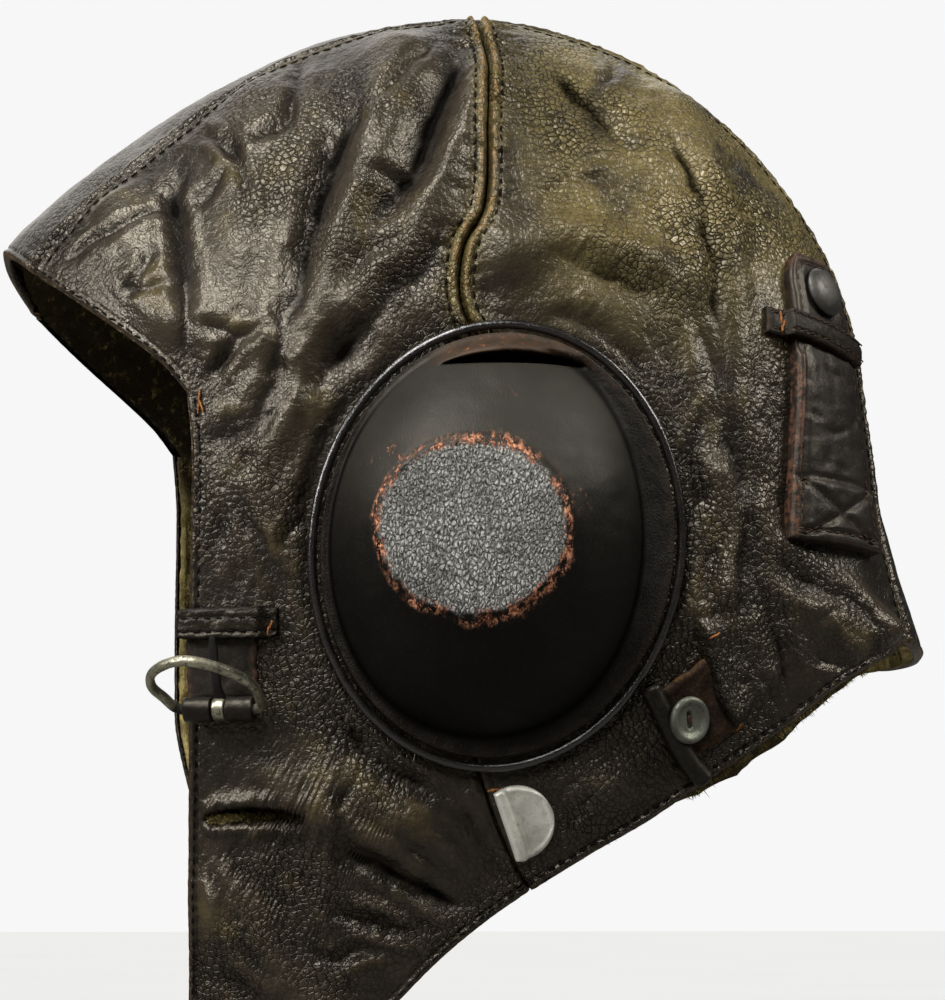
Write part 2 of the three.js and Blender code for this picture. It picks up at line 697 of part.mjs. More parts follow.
// A place on the left skin: origin, normal and two tangents. The first tangent points to the
// back and the second up, both turned by an angle in degrees.
function placeOn(y, z, turn = 0) {
  const origin = skinFromDisc(discFromSide({ y, z }));
  const out = normalAt(origin);
  const level = new THREE.Vector3(0, 0, 1).cross(out).normalize();
  const along = level.applyAxisAngle(out, turn * RAD);
  return { origin, out, along, across: out.clone().cross(along) };
}

// The skin point that lies over (u, v) of a place, found by halving along the place's normal
function drape(place, u, v) {
  const start = place.origin.clone().addScaledVector(place.along, u).addScaledVector(place.across, v);
  let low = -40;
  let high = 15;
  for (let pass = 0; pass < 40; pass++) {
    const middle = (low + high) / 2;
    if (outsideness(start.clone().addScaledVector(place.out, middle)) > 0) high = middle;
    else low = middle;
  }
  return start.addScaledVector(place.out, low);
}

// A flat piece lying on the skin. us are the stations along it, halfAt(u) its half-width there,
// and low and high give the heights of its two faces over the skin.
function sewnOn(place, us, halfAt, low, high, pieces = 4) {
  const grid = (height) =>
    us.map((u) =>
      steps(pieces, -1, 1).map((side) => {
        const v = halfAt(u) * side;
        const p = drape(place, u, v);
        return p.addScaledVector(normalAt(p), height(u, v));
      }),
    );
  return between(grid(high), grid(low));
}

const keeperPlace = placeOn(KEEPER.y, KEEPER.z, KEEPER.turn);

function keeper() {
  const end = KEEPER.long / 2;
  const us = [-end, -end + 9, -18, -9, 0, 9, 18, end - KEEPER.tip, end - 3, end];
  const halfAt = (u) =>
    (lerp(KEEPER.low, KEEPER.top, u / KEEPER.long + 0.5) / 2) *
    (1 - 0.4 * Math.max(0, (u - end + KEEPER.tip) / KEEPER.tip) ** 2);
  return sewnOn(keeperPlace, us, halfAt, () => SEWN_GAP, () => SEWN_GAP + KEEPER.thick, 3);
}

function keeperLoop() {
  const { from, raised, lowered, to, slope } = LOOP_STATIONS;
  const middle = (raised + lowered) / 2;
  const shelf = (lowered - raised) / 2;
  const over = KEEPER.thick + SEWN_GAP + 0.2;
  const lift = (u) => GAP + over * (1 - smooth((Math.abs(u - middle) - shelf) / slope));
  const shelfAt = [raised, middle - 6, middle, middle + 6, lowered];
  const us = [from, raised - slope, ...shelfAt, lowered + slope, to];
  const high = (u) => lift(u) + KEEPER_LOOP.thick;
  const place = placeOn(KEEPER_LOOP.y, KEEPER_LOOP.z, KEEPER_LOOP.turn);
  return sewnOn(place, us, () => KEEPER_LOOP.wide / 2, lift, high, 2);
}

// A turned piece stood on the skin: profile points are [radius, height] from the axis round
function turnedOn(place, u, v, lift, profile, sides) {
  const base = drape(place, u, v);
  const out = normalAt(base);
  const geometry = new THREE.LatheGeometry(
    profile.map(([r, h]) => new THREE.Vector2(r, h)),
    sides,
  );
  const stand = new THREE.Quaternion().setFromUnitVectors(new THREE.Vector3(0, 1, 0), out);
  geometry.applyQuaternion(stand);
  base.addScaledVector(out, lift);
  geometry.translate(base.x, base.y, base.z);
  return { geometry: welded(geometry), base, out };
}

function snap() {
  const r = SNAP.radius;
  const profile = [
    [0, 0],
    [r * 0.94, 0],
    [r, SNAP.base * 0.5],
    [r * 0.94, SNAP.base],
    [r * 0.72, SNAP.high * 0.72],
    [r * 0.4, SNAP.high * 0.93],
    [0, SNAP.high],
  ];
  return turnedOn(keeperPlace, SNAP.up, 0, SEWN_GAP + KEEPER.thick + GAP, profile, 14).geometry;
}

function solidOf(geometry) {
  const mesh = welded(geometry);
  return new wasm.Manifold(
    new wasm.Mesh({
      numProp: 3,
      vertProperties: Float32Array.from(mesh.attributes.position.array),
      triVerts: Uint32Array.from(mesh.index.array),
    }),
  );
}

function geometryOfSolid(solid) {
  const mesh = solid.getMesh();
  const geometry = new THREE.BufferGeometry();
  geometry.setAttribute("position", new THREE.BufferAttribute(mesh.vertProperties, 3));
  geometry.setIndex(new THREE.BufferAttribute(mesh.triVerts, 1));
  geometry.computeVertexNormals();
  return geometry;
}

// A box in a place's own directions: along, across and out, each [from, to]
function boxIn(place, along, across, out) {
  const geometry = new THREE.BoxGeometry(along[1] - along[0], across[1] - across[0], out[1] - out[0]);
  geometry.translate((along[0] + along[1]) / 2, (across[0] + across[1]) / 2, (out[0] + out[1]) / 2);
  return inPlace(place, geometry);
}

function inPlace(place, geometry) {
  const matrix = new THREE.Matrix4().makeBasis(place.along, place.across, place.out);
  matrix.setPosition(place.origin);
  return geometry.applyMatrix4(matrix);
}

// A cylinder along a place's first tangent, at a height over the skin
function barIn(place, radius, from, to, height, sides) {
  const geometry = new THREE.CylinderGeometry(radius, radius, to - from, sides);
  geometry.rotateZ(90 * RAD);
  geometry.translate((from + to) / 2, 0, height);
  return inPlace(place, geometry);
}

const bucklePlace = placeOn(BUCKLE.y, BUCKLE.z);

function buckleTab() {
  const { wide, long, thick, tube, bore, notch } = BUCKLE_TAB;
  const sheet = sewnOn(
    { ...bucklePlace, along: bucklePlace.across, across: bucklePlace.along.clone().negate() },
    [-0.8, 2, 5, 10, 15, long],
    () => wide / 2,
    () => GAP,
    () => GAP + thick,
    4,
  );
  return geometryOfSolid(
    solidOf(sheet)
      .add(solidOf(barIn(bucklePlace, tube, -wide / 2, wide / 2, BUCKLE.axis, 14)))
      .subtract(solidOf(barIn(bucklePlace, bore, -wide, wide, BUCKLE.axis, 12)))
      .subtract(solidOf(boxIn(bucklePlace, [-notch, notch], [-4, 3.6], [-2, 9]))),
  );
}

function buckleWelt() {
  const { low, high, front, back, thick } = BUCKLE_WELT;
  const middle = (low + high) / 2;
  const place = { ...bucklePlace, origin: drape(bucklePlace, 0, middle) };
  const over = BUCKLE_TAB.thick + GAP;
  const shelf = BUCKLE_TAB.wide / 2 + 0.8;
  const lift = (u) => GAP + over * (1 - smooth((Math.abs(u) - shelf) / 2.4));
  const us = [front - 1.4, -shelf, -4, 0, 4, shelf, shelf + 1.2, shelf + 2.4, back];
  return sewnOn(place, us, () => (high - low) / 2, lift, (u) => lift(u) + thick, 2);
}

// The ring's and the prong's direction away from the bar, at an angle up from the cheek
function leaning(degrees) {
  return bucklePlace.across
    .clone()
    .multiplyScalar(Math.cos(degrees * RAD))
    .addScaledVector(bucklePlace.out, Math.sin(degrees * RAD));
}

function buckleRing() {
  const { bar, wire, wide, long, skew } = RING;
  const half = [
    [0, 0],
    [bar * 0.5, 0],
    [bar, 0],
    [bar + 1.9, 1.3],
    [wide - 0.7, 6],
    [wide, 11.5],
    [wide * 0.82, 17.4],
    [wide * 0.45, 22],
  ];
  const flat = [...half, [0, long], ...half.slice(1).reverse().map(([p, q]) => [-p, q])];
  const curve = new THREE.CatmullRomCurve3(
    flat.map(([p, q]) => new THREE.Vector3(p - skew * smooth(q / long), q, 0)),
    true,
    "centripetal",
  );
  const away = leaning(RING.stands);
  const centre = bucklePlace.origin.clone().addScaledVector(bucklePlace.out, BUCKLE.axis);
  const points = curve
    .getSpacedPoints(28)
    .slice(0, -1)
    .map((p) => centre.clone().addScaledVector(bucklePlace.along, p.x).addScaledVector(away, p.y));
  return wireLoop(points, bucklePlace.along.clone().cross(away), wire, 6);
}

function buckleProng() {
  const away = leaning(PRONG.stands);
  const over = bucklePlace.along.clone().cross(away);
  const turned = {
    origin: bucklePlace.origin.clone().addScaledVector(bucklePlace.out, BUCKLE.axis),
    along: bucklePlace.along,
    across: away,
    out: over,
  };
  const slim = PRONG.half * 0.7;
  const flat = PRONG.thick / 2;
  const shaft = boxIn(turned, [-slim, slim], [1.9, PRONG.long], [-flat, flat]);
  return geometryOfSolid(
    solidOf(barIn(turned, PRONG.curl, -PRONG.half, PRONG.half, 0, 16))
      .add(solidOf(shaft))
      .subtract(solidOf(barIn(turned, BUCKLE_TAB.bore, -9, 9, 0, 12))),
  );
}

function strapTip() {
  const { y, z, turn, chord, deep, thick, roll } = STRAP_TIP;
  const radius = ((chord / 2) ** 2 + deep ** 2) / (2 * deep);
  const centre = deep - radius;
  const halfAt = (u) => Math.max(1.2, Math.sqrt(Math.max(0, radius ** 2 - (u - centre) ** 2)));
  const bulge = (u) => roll * Math.sqrt(Math.max(0, 1 - ((u - 1.2) / 1.5) ** 2));
  const us = [0, 0.4, 1.2, 2, 2.6, 4, 6, 8, 9.6, 10.8, 11.6, deep];
  return sewnOn(placeOn(y, z, turn), us, halfAt, () => SEWN_GAP, (u) => SEWN_GAP + thick + bulge(u), 4);
}

const neckPlace = placeOn(NECK_TAB.y, NECK_TAB.z, NECK_TAB.turn);

function neckTab() {
  const { long, wide, thick, roll } = NECK_TAB;
  const bulge = (u) => roll * 1.5 * Math.sqrt(Math.max(0, 1 - (u / roll) ** 2));
  const us = [-roll, -2.1, -1.2, 0, 1.2, 2.1, roll, 5, 8, 11.5, long];
  const high = (u) => SEWN_GAP + thick + bulge(u);
  return sewnOn(neckPlace, us, () => wide / 2, () => SEWN_GAP, high, 4);
}

function neckButton() {
  const { along, across, radius, thick, hole, spread } = BUTTON;
  const profile = [
    [0, 0],
    [radius * 0.7, 0],
    [radius, thick * 0.4],
    [radius, thick * 0.75],
    [radius * 0.9, thick],
    [radius * 0.5, thick * 0.72],
    [0, thick * 0.66],
  ];
  const lift = SEWN_GAP + NECK_TAB.thick + GAP;
  const { geometry, base, out } = turnedOn(neckPlace, along, across, lift, profile, 16);
  const seat = { origin: base, out, along: neckPlace.along, across: out.clone().cross(neckPlace.along) };
  const drill = (sign) => {
    const pin = new THREE.CylinderGeometry(hole, hole, 3 * thick, 6);
    pin.rotateX(90 * RAD);
    pin.translate(0, sign * spread, 0);
    return solidOf(inPlace(seat, pin));
  };
  return geometryOfSolid(solidOf(geometry).subtract(drill(1)).subtract(drill(-1)));
}

function leftFrontPanel(plain) {
  const slit = placeOn(CHEEK_SLIT.y, CHEEK_SLIT.z);
  const half = CHEEK_SLIT.long / 2;
  const high = CHEEK_SLIT.high / 2;
  return geometryOfSolid(
    solidOf(plain).subtract(solidOf(boxIn(slit, [-half, half], [-high, high], [-8, 8]))),
  );
}

// Finishes, named for what they cover
const finish = (color, roughness, metalness = 0) =>
  new THREE.MeshStandardMaterial({ color, roughness, metalness });
const MATERIALS = {
  leather: finish(0x2e261d, 0.45),
  dome: finish(0x1a1715, 0.4),
  fleece: finish(0x9a8a45, 0.95),
  strap: finish(0x2f2925, 0.55),
  suede: finish(0x3d2a1d, 0.8),
  blackened: finish(0x3a3834, 0.4, 0.8),
  silvered: finish(0xc9c6b6, 0.35, 0.9),
  pewter: finish(0x6f7064, 0.5, 0.8),
};

const helmet = new THREE.Group();
const rightHand = new THREE.Group();
rightHand.scale.set(-1, 1, 1);
helmet.add(rightHand);

function addPiece(name, geometry, material, into = helmet) {
  const mesh = new THREE.Mesh(geometry, material);
  mesh.name = name;
  into.add(mesh);
}

function addPair(name, geometry, material) {
  addPiece(`left_${name}`, geometry, material);
  addPiece(`right_${name}`, geometry, material, rightHand);
}

const foldLift = (p) => foldHeight(p.y, p.z);
const onSkin = (grids) => grids.map((grid) => grid.map((row) => row.map(skinFromDisc)));

// The right chin flap, swung back below the buckle's height
function swungBack(geometry) {
  const swung = geometry.clone();
  const position = swung.attributes.position;
  for (let i = 0; i < position.count; i++) {
    const front = smooth((EAR.y - position.getY(i)) / RIGHT_FLAP.fade);
    const low = smooth((RIGHT_FLAP.from - position.getZ(i)) / RIGHT_FLAP.over);
    position.setY(i, position.getY(i) + RIGHT_FLAP.back * front * low);
  }
  swung.computeVertexNormals();
  return swung;
}

const frontPanel = wallUnder(onSkin(frontPanelGrids()), 0, LEATHER, foldLift);
const rearPanel = wallUnder(onSkin(rearPanelGrids()), 0, LEATHER, foldLift);
addPiece("left_front_panel", leftFrontPanel(frontPanel), MATERIALS.leather);
addPiece("right_front_panel", swungBack(frontPanel), MATERIALS.leather, rightHand);
addPair("rear_panel", rearPanel, MATERIALS.leather);
addPiece("centre_strip", wallUnder([stripGrid()], 0, LEATHER), MATERIALS.leather);

const liningTop = LEATHER + LINING_GAP;
const lining = wallUnder(onSkin(liningGrids()), liningTop, liningTop + FLEECE);
addPiece("left_lining", lining, MATERIALS.fleece);
addPiece("right_lining", swungBack(lining), MATERIALS.fleece, rightHand);

addPair("ear_dome", earDome(), MATERIALS.dome);
addPair("ear_welt", earWelt(), MATERIALS.dome);
addPair("goggle_keeper", keeper(), MATERIALS.strap);
addPair("keeper_loop", keeperLoop(), MATERIALS.strap);
addPair("keeper_snap", snap(), MATERIALS.blackened);

addPiece("buckle_tab", buckleTab(), MATERIALS.strap);
addPiece("buckle_welt", buckleWelt(), MATERIALS.strap);
addPiece("buckle_ring", buckleRing(), MATERIALS.silvered);
addPiece("buckle_prong", buckleProng(), MATERIALS.silvered);
addPiece("strap_tip", strapTip(), MATERIALS.silvered);
addPiece("neck_tab", neckTab(), MATERIALS.suede);
addPiece("neck_button", neckButton(), MATERIALS.pewter);

export default helmet;
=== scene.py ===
import math

import bmesh
import bpy
import numpy as np
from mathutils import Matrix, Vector, kdtree

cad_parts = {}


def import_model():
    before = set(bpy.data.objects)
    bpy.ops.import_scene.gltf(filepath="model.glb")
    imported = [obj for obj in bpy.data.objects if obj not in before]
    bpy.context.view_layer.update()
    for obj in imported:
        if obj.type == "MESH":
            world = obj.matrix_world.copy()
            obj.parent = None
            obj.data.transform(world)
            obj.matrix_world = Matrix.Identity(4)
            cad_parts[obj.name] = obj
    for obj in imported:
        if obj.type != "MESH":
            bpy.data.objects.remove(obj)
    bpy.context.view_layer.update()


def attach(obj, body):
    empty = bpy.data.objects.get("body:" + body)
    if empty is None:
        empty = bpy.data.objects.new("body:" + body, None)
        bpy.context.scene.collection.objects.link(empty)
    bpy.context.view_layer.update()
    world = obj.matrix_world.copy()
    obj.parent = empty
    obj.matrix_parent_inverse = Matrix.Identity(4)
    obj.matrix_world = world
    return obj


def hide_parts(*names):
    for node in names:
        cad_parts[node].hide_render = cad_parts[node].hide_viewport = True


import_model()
MM = 0.001
DETAIL = 1.0
WORD = {1: "left", -1: "right"}
# Mesh steps grow by this much: fewer triangles do on the right, the side away from the camera
STEP = {1: 1.03, -1: 1.38}

# The outer skin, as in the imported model

EAR_Y, EAR_Z = -5.0, -139.0
HALF_WIDTH = 82.0
# angle about the ear in degrees, reach in mm
OUTLINE = np.array([
    (-12, 119.5), (-2, 110.5), (8, 106.5), (21, 109.3), (32, 116.3), (40, 121.8), (50, 127.8),
    (60, 133.6), (71, 139.2), (80, 142.2), (88, 143.9), (99, 143.2), (109, 142.2), (121, 140.6),
    (130, 141), (138, 143), (146, 145), (160, 141), (180, 134), (200, 134), (220, 150),
    (240, 180), (255, 194), (270, 190), (285, 174), (300, 156), (320, 137), (336, 127),
], float)
# angle, half-width of the centre strip
STRIP = np.array([(-22, 48), (-12, 48), (8, 41), (40, 31), (88, 27), (112, 29), (125, 34), (147, 38),
                  (157, 38)], float)
BROW_EDGE = [(-125.5, -58.3), (-120.6, -65), (-112.7, -71.4), (-105.3, -77.5), (-98, -83.3),
             (-90.7, -89.1), (-84.7, -94.6), (-79.6, -101)]
FACE_EDGE = [(-79.6, -101), (-78.4, -115), (-78.6, -155), (-78.3, -200), (-77.6, -245), (-77, -281)]
CHIN_TIP = [(-77, -281), (-74.5, -288.5), (-67.5, -291), (-60, -286.5)]
NECK_EDGE = [(-60, -286.5), (-43, -264), (-27.3, -246.5), (-15.6, -234.8), (-6.2, -227.2),
             (3.6, -220.5), (17.7, -212), (31.4, -204.2), (41, -197.8), (52, -190.6), (65.5, -181.5),
             (80, -170.8), (89.4, -165.3)]
STRIP_BROW = (-116.5, -68.2)
BROW_ROWS = [STRIP_BROW] + [q for q in BROW_EDGE if q[0] > STRIP_BROW[0]]
NAPE_END = (-11.3, -10.4)
BROW_END = (146.2, 147.6)
CROSS_SEAM = [(-13.8, -80), (-13, -65.5), (-8, -56), (-6, -31.5), (-4.6, -13.6)]
NECK_SEAM = [(-7.8, -197.8), (-0.8, -214)]
NECK_SEAM_END = (3.6, -220.5)
SEAM_GAP = 0.2
# length of the centre strip from nape to brow
STRIP_RUN = 390
CROSS_TURN, TEMPLE_TURN, NECK_TURN, NAPE_TURN = 100, 158, 268, -6
TEMPLE_SHARE = 5 / 9
EAR_HOLE = 0.85
DOME_ACROSS, DOME_TALL, DOME_LEAN = 43.3, 52.4, 8.0
DISC_ACROSS, DISC_TALL, DISC_FORWARD, DISC_UP = 21.0, 20.0, 9.3, 1.7
LEATHER = 1.6
# what the valley mask says on a turned edge: a little painted shade on its wall
TURNED_VALLEY = -0.4
# gains of the folds, creases and wrinkles, the deepest crease and the deepest point of the leather
FOLD_GAIN, CREASE_GAIN, WRINKLE_GAIN = 1.5, 1.4, 1.25
DEEPEST_CREASE, LOWEST = 2.5, -2.1
PANEL_SEEDS = {1: (11, 12), -1: (211, 212)}
# start, bend, end, wide, high
FOLDS = [
    ((-26, -12), (-30, -45), (-56, -90), 8, 3.2), ((-6, -22), (-16, -52), (-38, -82), 7, 3.0),
    ((-62, -24), (-62, -52), (-72, -84), 9, 2.2), ((-98, -52), (-94, -64), (-84, -82), 8, 1.8),
    ((-2, -66), (14, -60), (38, -72), 8, 3.0), ((42, -26), (54, -64), (60, -108), 8, 2.4),
    ((58, -128), (70, -146), (92, -158), 5, 3.6), ((50, -120), (55, -140), (46, -156), 4.5, 3.2),
    ((64, -137), (82, -142), (93, -158), 3.5, 2.6), ((66, -150), (76, -154), (84, -163), 3.2, 1.8),
    ((-58, -104), (-64, -124), (-58, -146), 7, 2.4), ((-66, -186), (-52, -196), (-30, -206), 8, 2.4),
    ((-72, -222), (-58, -236), (-46, -254), 8, 2.2), ((12, -200), (26, -196), (34, -190), 6, 2.0),
]
# y, z, wide, tall
FLAT_SPOTS = [(80, -98, 26, 54), (-68, -166, 25, 28), (43, -178, 16, 20), (3, -205, 12, 14)]

# Creases of the leather: wide, deep, and the points that each runs through, (y, z) in mm

CREASES = [
    (3.0, 3, [(-36.6, -10), (-38.8, -25.8), (-44.3, -46.3), (-49.4, -62.3), (-52.2, -77.2),
              (-56.2, -87.8), (-59.9, -105.2)]),
    (3.2, 2.8, [(-9.3, -4.4), (-15.4, -23.5), (-20.7, -36.6), (-26.3, -49.1), (-36.2, -61.8),
                (-41.5, -69.6)]),
    (2, 1.6, [(-80, -35.7), (-82.4, -48.1), (-81.7, -60.1), (-79.6, -71.6), (-78.8, -87.3),
              (-78.4, -98.7)]),
    (1.6, 0.8, [(-78.8, -87.7), (-72.6, -85.6), (-65.0, -88.6), (-57, -86.7)]),
    (1.5, 1, [(-110.7, -68.5), (-107, -65.6), (-102.5, -61.8), (-97.3, -61), (-92.1, -56),
              (-86.1, -53.9), (-82.4, -50.8)]),
    (1.6, 1, [(-68.6, -29.6), (-67.4, -40.7), (-65.3, -47.7), (-64.7, -57.7)]),
    (1.5, 0.9, [(-76.9, -32.3), (-72.5, -33.9), (-68.1, -39.8), (-63.1, -44.5)]),
    (1.6, 1, [(-49.8, -8.7), (-52.9, -26.7), (-56.1, -33.7), (-60.7, -37.7), (-66.6, -39)]),
    (1.6, 0.8, [(-67.4, -41.6), (-72.7, -48.9), (-77.2, -55.4)]),
    (1.8, 1.2, [(-13.3, -3.1), (-20.8, -15), (-28.2, -23.4), (-36, -29.9), (-37.7, -34.7), (-42.5, -45.5)]),
    (1.5, 0.9, [(-23.4, -49.1), (-37.4, -48.9), (-41.8, -49.6)]),
    (1.8, 1.2, [(-23.7, -60.3), (-30.5, -66.6), (-36.3, -68.1), (-43.8, -76.5)]),
    (1.5, 0.9, [(-73, -98.1), (-68.6, -91.4), (-59.9, -84.7)]),
    (3, 1.8, [(-11.8, -60.2), (-29.2, -77.5), (-45.4, -95.6), (-52.7, -108.3)]),
    (1.4, 0.7, [(-95, -78.7), (-89.1, -71.1), (-87.6, -63)]),
    (1.4, 0.6, [(-96.5, -72.3), (-89.9, -75.9), (-80.3, -73.9)]),
    (3.6, 1.4, [(11.8, -9.8), (13.9, -17.7), (20.1, -25.6), (25.6, -34.1), (29.7, -42.4)]),
    (3.2, 3, [(40, -17.9), (38.3, -29.2), (42.1, -38.6), (46, -49.4), (47.6, -59.2), (48.4, -70.5),
              (50, -86.1), (51.8, -101.4), (53.2, -106.8)]),
    (2.2, 1.2, [(36.2, -50.3), (36.4, -59.3), (39, -67.9), (41.6, -78.8), (45.8, -90.2), (49.3, -107)]),
    (3.4, 2.2, [(3.1, -67), (10.6, -68.4), (19.6, -71.2), (27.9, -74), (33.9, -77.7), (38.6, -76.6)]),
    (1.2, 0.6, [(17.2, -42.3), (21.9, -40.8), (27.4, -40.9)]),
    (1.2, 0.6, [(11.4, -49.2), (19.1, -48), (27.8, -46.7)]),
    (1.2, 0.6, [(4.4, -51.9), (10.7, -48.4), (17, -44.8)]),
    (1.2, 0.6, [(33.3, -58.7), (29.6, -68.4), (28.7, -73.2)]),
    (1.2, 0.6, [(48.1, -53.4), (53.9, -53.2), (61.7, -52.5), (70.7, -54.3)]),
    (1.2, 0.5, [(48.2, -43.6), (54.5, -41.3), (61.8, -36.9)]),
    (1.2, 0.6, [(29.2, -10.2), (27.7, -17.1), (19.3, -19.2)]),
    (1.8, 0.9, [(2.7, -81.7), (16.9, -84.4), (27.2, -93.3), (33.1, -102.2)]),
    (2.6, 2.2, [(-54.8, -86.2), (-56.5, -92.3), (-57.5, -100), (-60.7, -104.3), (-62.8, -108.1),
                (-66, -110.2), (-71.8, -113.9), (-74.9, -116.5)]),
    (2, 1.2, [(-53.8, -96.8), (-57, -104.4), (-60.7, -111.4), (-64.9, -117.8), (-65.9, -124.3)]),
    (3, 1.6, [(-35.8, -94.2), (-38.5, -100.7), (-44.3, -110), (-47, -121.3), (-49.6, -131.4),
              (-51.6, -140.5)]),
    (1.5, 1.4, [(-65.9, -125.3), (-65.4, -130.7), (-63.8, -135), (-60, -143.1), (-56.8, -149.5),
                (-55.7, -155.8), (-53.6, -161.7), (-49.3, -167)]),
    (1.4, 1.1, [(-63.3, -131.3), (-60.6, -138.3), (-55.8, -145.8), (-51.6, -151.1)]),
    (2, 1.1, [(-70.7, -127.9), (-71.7, -133.8), (-72.4, -140.2), (-72.6, -147.1)]),
    (1.3, 0.6, [(-70, -143.4), (-65.3, -144.6), (-62.1, -143.6)]),
    (1.4, 0.8, [(-72.9, -98.6), (-71.3, -94.2), (-67.6, -89.3)]),
    (1.5, 1, [(-51.7, -131.4), (-54.8, -136.2), (-55.8, -141)]),
    (2.5, 1.5, [(-49.4, -165), (-46.7, -174.1), (-41.5, -181.9), (-34.9, -187.8), (-27, -193.6),
                (-19.1, -197.5), (-9.3, -197.4)]),
    (2, 1.3, [(-54.9, -186.4), (-50.3, -193.5), (-41.2, -199.4), (-33.3, -205.2), (-24.1, -210.4),
              (-14.8, -216.9), (-5.5, -219.5)]),
    (3, 1.9, [(-50.2, -202.6), (-46.3, -206.5), (-38.4, -211.7), (-30.5, -215.6), (-23.9, -218.9),
              (-14.7, -222.8), (-5.3, -226.1)]),
    (1.4, 0.8, [(-47.6, -202), (-41.2, -197.5), (-36.1, -194.9)]),
    (1.4, 0.8, [(-69.4, -210.4), (-62.9, -216.9), (-55, -223.4), (-48.5, -226.7)]),
    (1.4, 0.8, [(-74, -212.3), (-66, -226.1), (-60.7, -230)]),
    (1.5, 0.9, [(-66, -226.7), (-61.3, -237.8), (-54.7, -243.1)]),
    (1.4, 0.8, [(-50.9, -234.5), (-43.1, -236.5), (-36.7, -234.5), (-28.2, -234.5)]),
    (1.4, 0.8, [(-40.9, -218.2), (-33, -221.5), (-23.8, -226.7), (-17.1, -231.3)]),
    (1.6, 0.9, [(-46, -222.1), (-36.8, -227.3), (-26.3, -230), (-18.4, -230)]),
    (1.6, 1, [(-72.9, -239.2), (-65.7, -243.1), (-60.5, -245.7), (-50.7, -246.3)]),
    (1.6, 0.9, [(-76.9, -186.9), (-69.7, -193.4), (-63.8, -197.4)]),
    (1.4, 0.7, [(-71.1, -186.9), (-63.2, -193.5), (-58, -197.4)]),
    (1.5, 1, [(-16.5, -199.4), (-10.5, -205.2), (-5.7, -210.4), (-2.3, -215.6)]),
    (1.4, 0.8, [(8.8, -206.5), (14, -202.6), (17.9, -197.3)]),
    (3.2, 3, [(49.3, -97.1), (51.1, -105), (53, -114.1), (54.2, -123.3), (54.7, -133.7), (53.8, -142.9),
              (53, -150.7), (51.7, -159.8)]),
    (2, 1.4, [(51.4, -126), (48.5, -134), (46.3, -143.1), (45.6, -152.8), (45.6, -159.9)]),
    (2, 1, [(46.4, -101.2), (43.4, -110.6), (41.3, -117.2), (43.9, -125), (45.8, -131.4)]),
    (2.5, 1.3, [(55.3, -139), (58.5, -146.7), (61.2, -155.7), (64.8, -165.9), (67, -173.6),
                (67.9, -178.7)]),
    (2.4, 3.0, [(60.1, -138.8), (67.1, -143.1), (74.2, -147.4), (80.8, -149.7), (86.1, -154),
                (90.7, -159.1), (91.4, -163.6)]),
    (1.3, 0.8, [(71.8, -161.9), (76.9, -165.6), (85.9, -165.2)]),
    (1.3, 0.8, [(57.2, -167.4), (61.4, -171.8), (64.4, -178.8)]),
    (1.3, 0.8, [(51.1, -168.1), (55.3, -172.5), (56.1, -177.6)]),
    (1.3, 0.7, [(71.1, -155.4), (75.4, -153.9), (80.7, -152.3)]),
]


def stacked(*parts):
    """Coordinates side by side, after broadcasting them to one shape."""
    return np.stack(np.broadcast_arrays(*parts), -1)


def hermite(table, x):
    xs, ys = table[:, 0], table[:, 1]
    slope = np.zeros_like(xs)
    slope[1:-1] = (ys[2:] - ys[:-2]) / (xs[2:] - xs[:-2])
    i = np.clip(np.searchsorted(xs, x, side="right") - 1, 1, len(xs) - 3)
    h = xs[i + 1] - xs[i]
    t = (x - xs[i]) / h
    return ((2 * t**3 - 3 * t**2 + 1) * ys[i] + (t**3 - 2 * t**2 + t) * h * slope[i]
            + (-2 * t**3 + 3 * t**2) * ys[i + 1] + (t**3 - t**2) * h * slope[i + 1])


ROUND = np.vstack([OUTLINE[-1:] - [360, 0], OUTLINE, OUTLINE[:2] + [360, 0]])


def reach(angle):
    return hermite(ROUND, (angle - OUTLINE[0, 0]) % 360 + OUTLINE[0, 0])


def strip_half(angle):
    return hermite(STRIP, np.asarray(angle, float))


def smooth(t):
    t = np.clip(t, 0, 1)
    return t * t * (3 - 2 * t)


def squareness(angle):
    return 2.4 + 0.4 * np.maximum(0, np.cos(np.radians(angle))) ** 2


def half_width(y, z):
    return HALF_WIDTH * (1 - 0.12 * smooth((EAR_Z - z) / 125)) * (1 - 0.06 * smooth((-20 - y) / 90))


def angle_of(y, z):
    return np.degrees(np.arctan2(z - EAR_Z, y - EAR_Y))


def outsideness(p):
    x, y, z = p[..., 0], p[..., 1], p[..., 2]
    a = angle_of(y, z)
    n = squareness(a)
    return (np.abs(x) / half_width(y, z)) ** n + (np.hypot(y - EAR_Y, z - EAR_Z) / reach(a)) ** n - 1


def unit(v):
    return v / np.maximum(np.linalg.norm(v, axis=-1, keepdims=True), 1e-9)


def normal(p):
    steps = np.eye(3) * 0.05
    n = stacked(*(outsideness(p + s) - outsideness(p - s) for s in steps))
    return unit(n)


def skin(uv):
    u, v = uv[..., 0], uv[..., 1]
    around = np.minimum(1, np.hypot(u, v)) * math.pi / 2
    a = np.degrees(np.arctan2(v, u))
    power = 2 / squareness(a)
    out = np.sin(around) ** power * reach(a)
    y = EAR_Y + out * np.cos(np.radians(a))
    z = EAR_Z + out * np.sin(np.radians(a))
    return stacked(half_width(y, z) * np.maximum(0, np.cos(around)) ** power, y, z)


def disc_from_side(y, z):
    y, z = np.asarray(y, float), np.asarray(z, float)
    a = angle_of(y, z)
    share = np.minimum(1, np.hypot(y - EAR_Y, z - EAR_Z) / reach(a))
    around = np.arcsin(share ** (squareness(a) / 2)) / (math.pi / 2)
    return stacked(around * np.cos(np.radians(a)), around * np.sin(np.radians(a)))


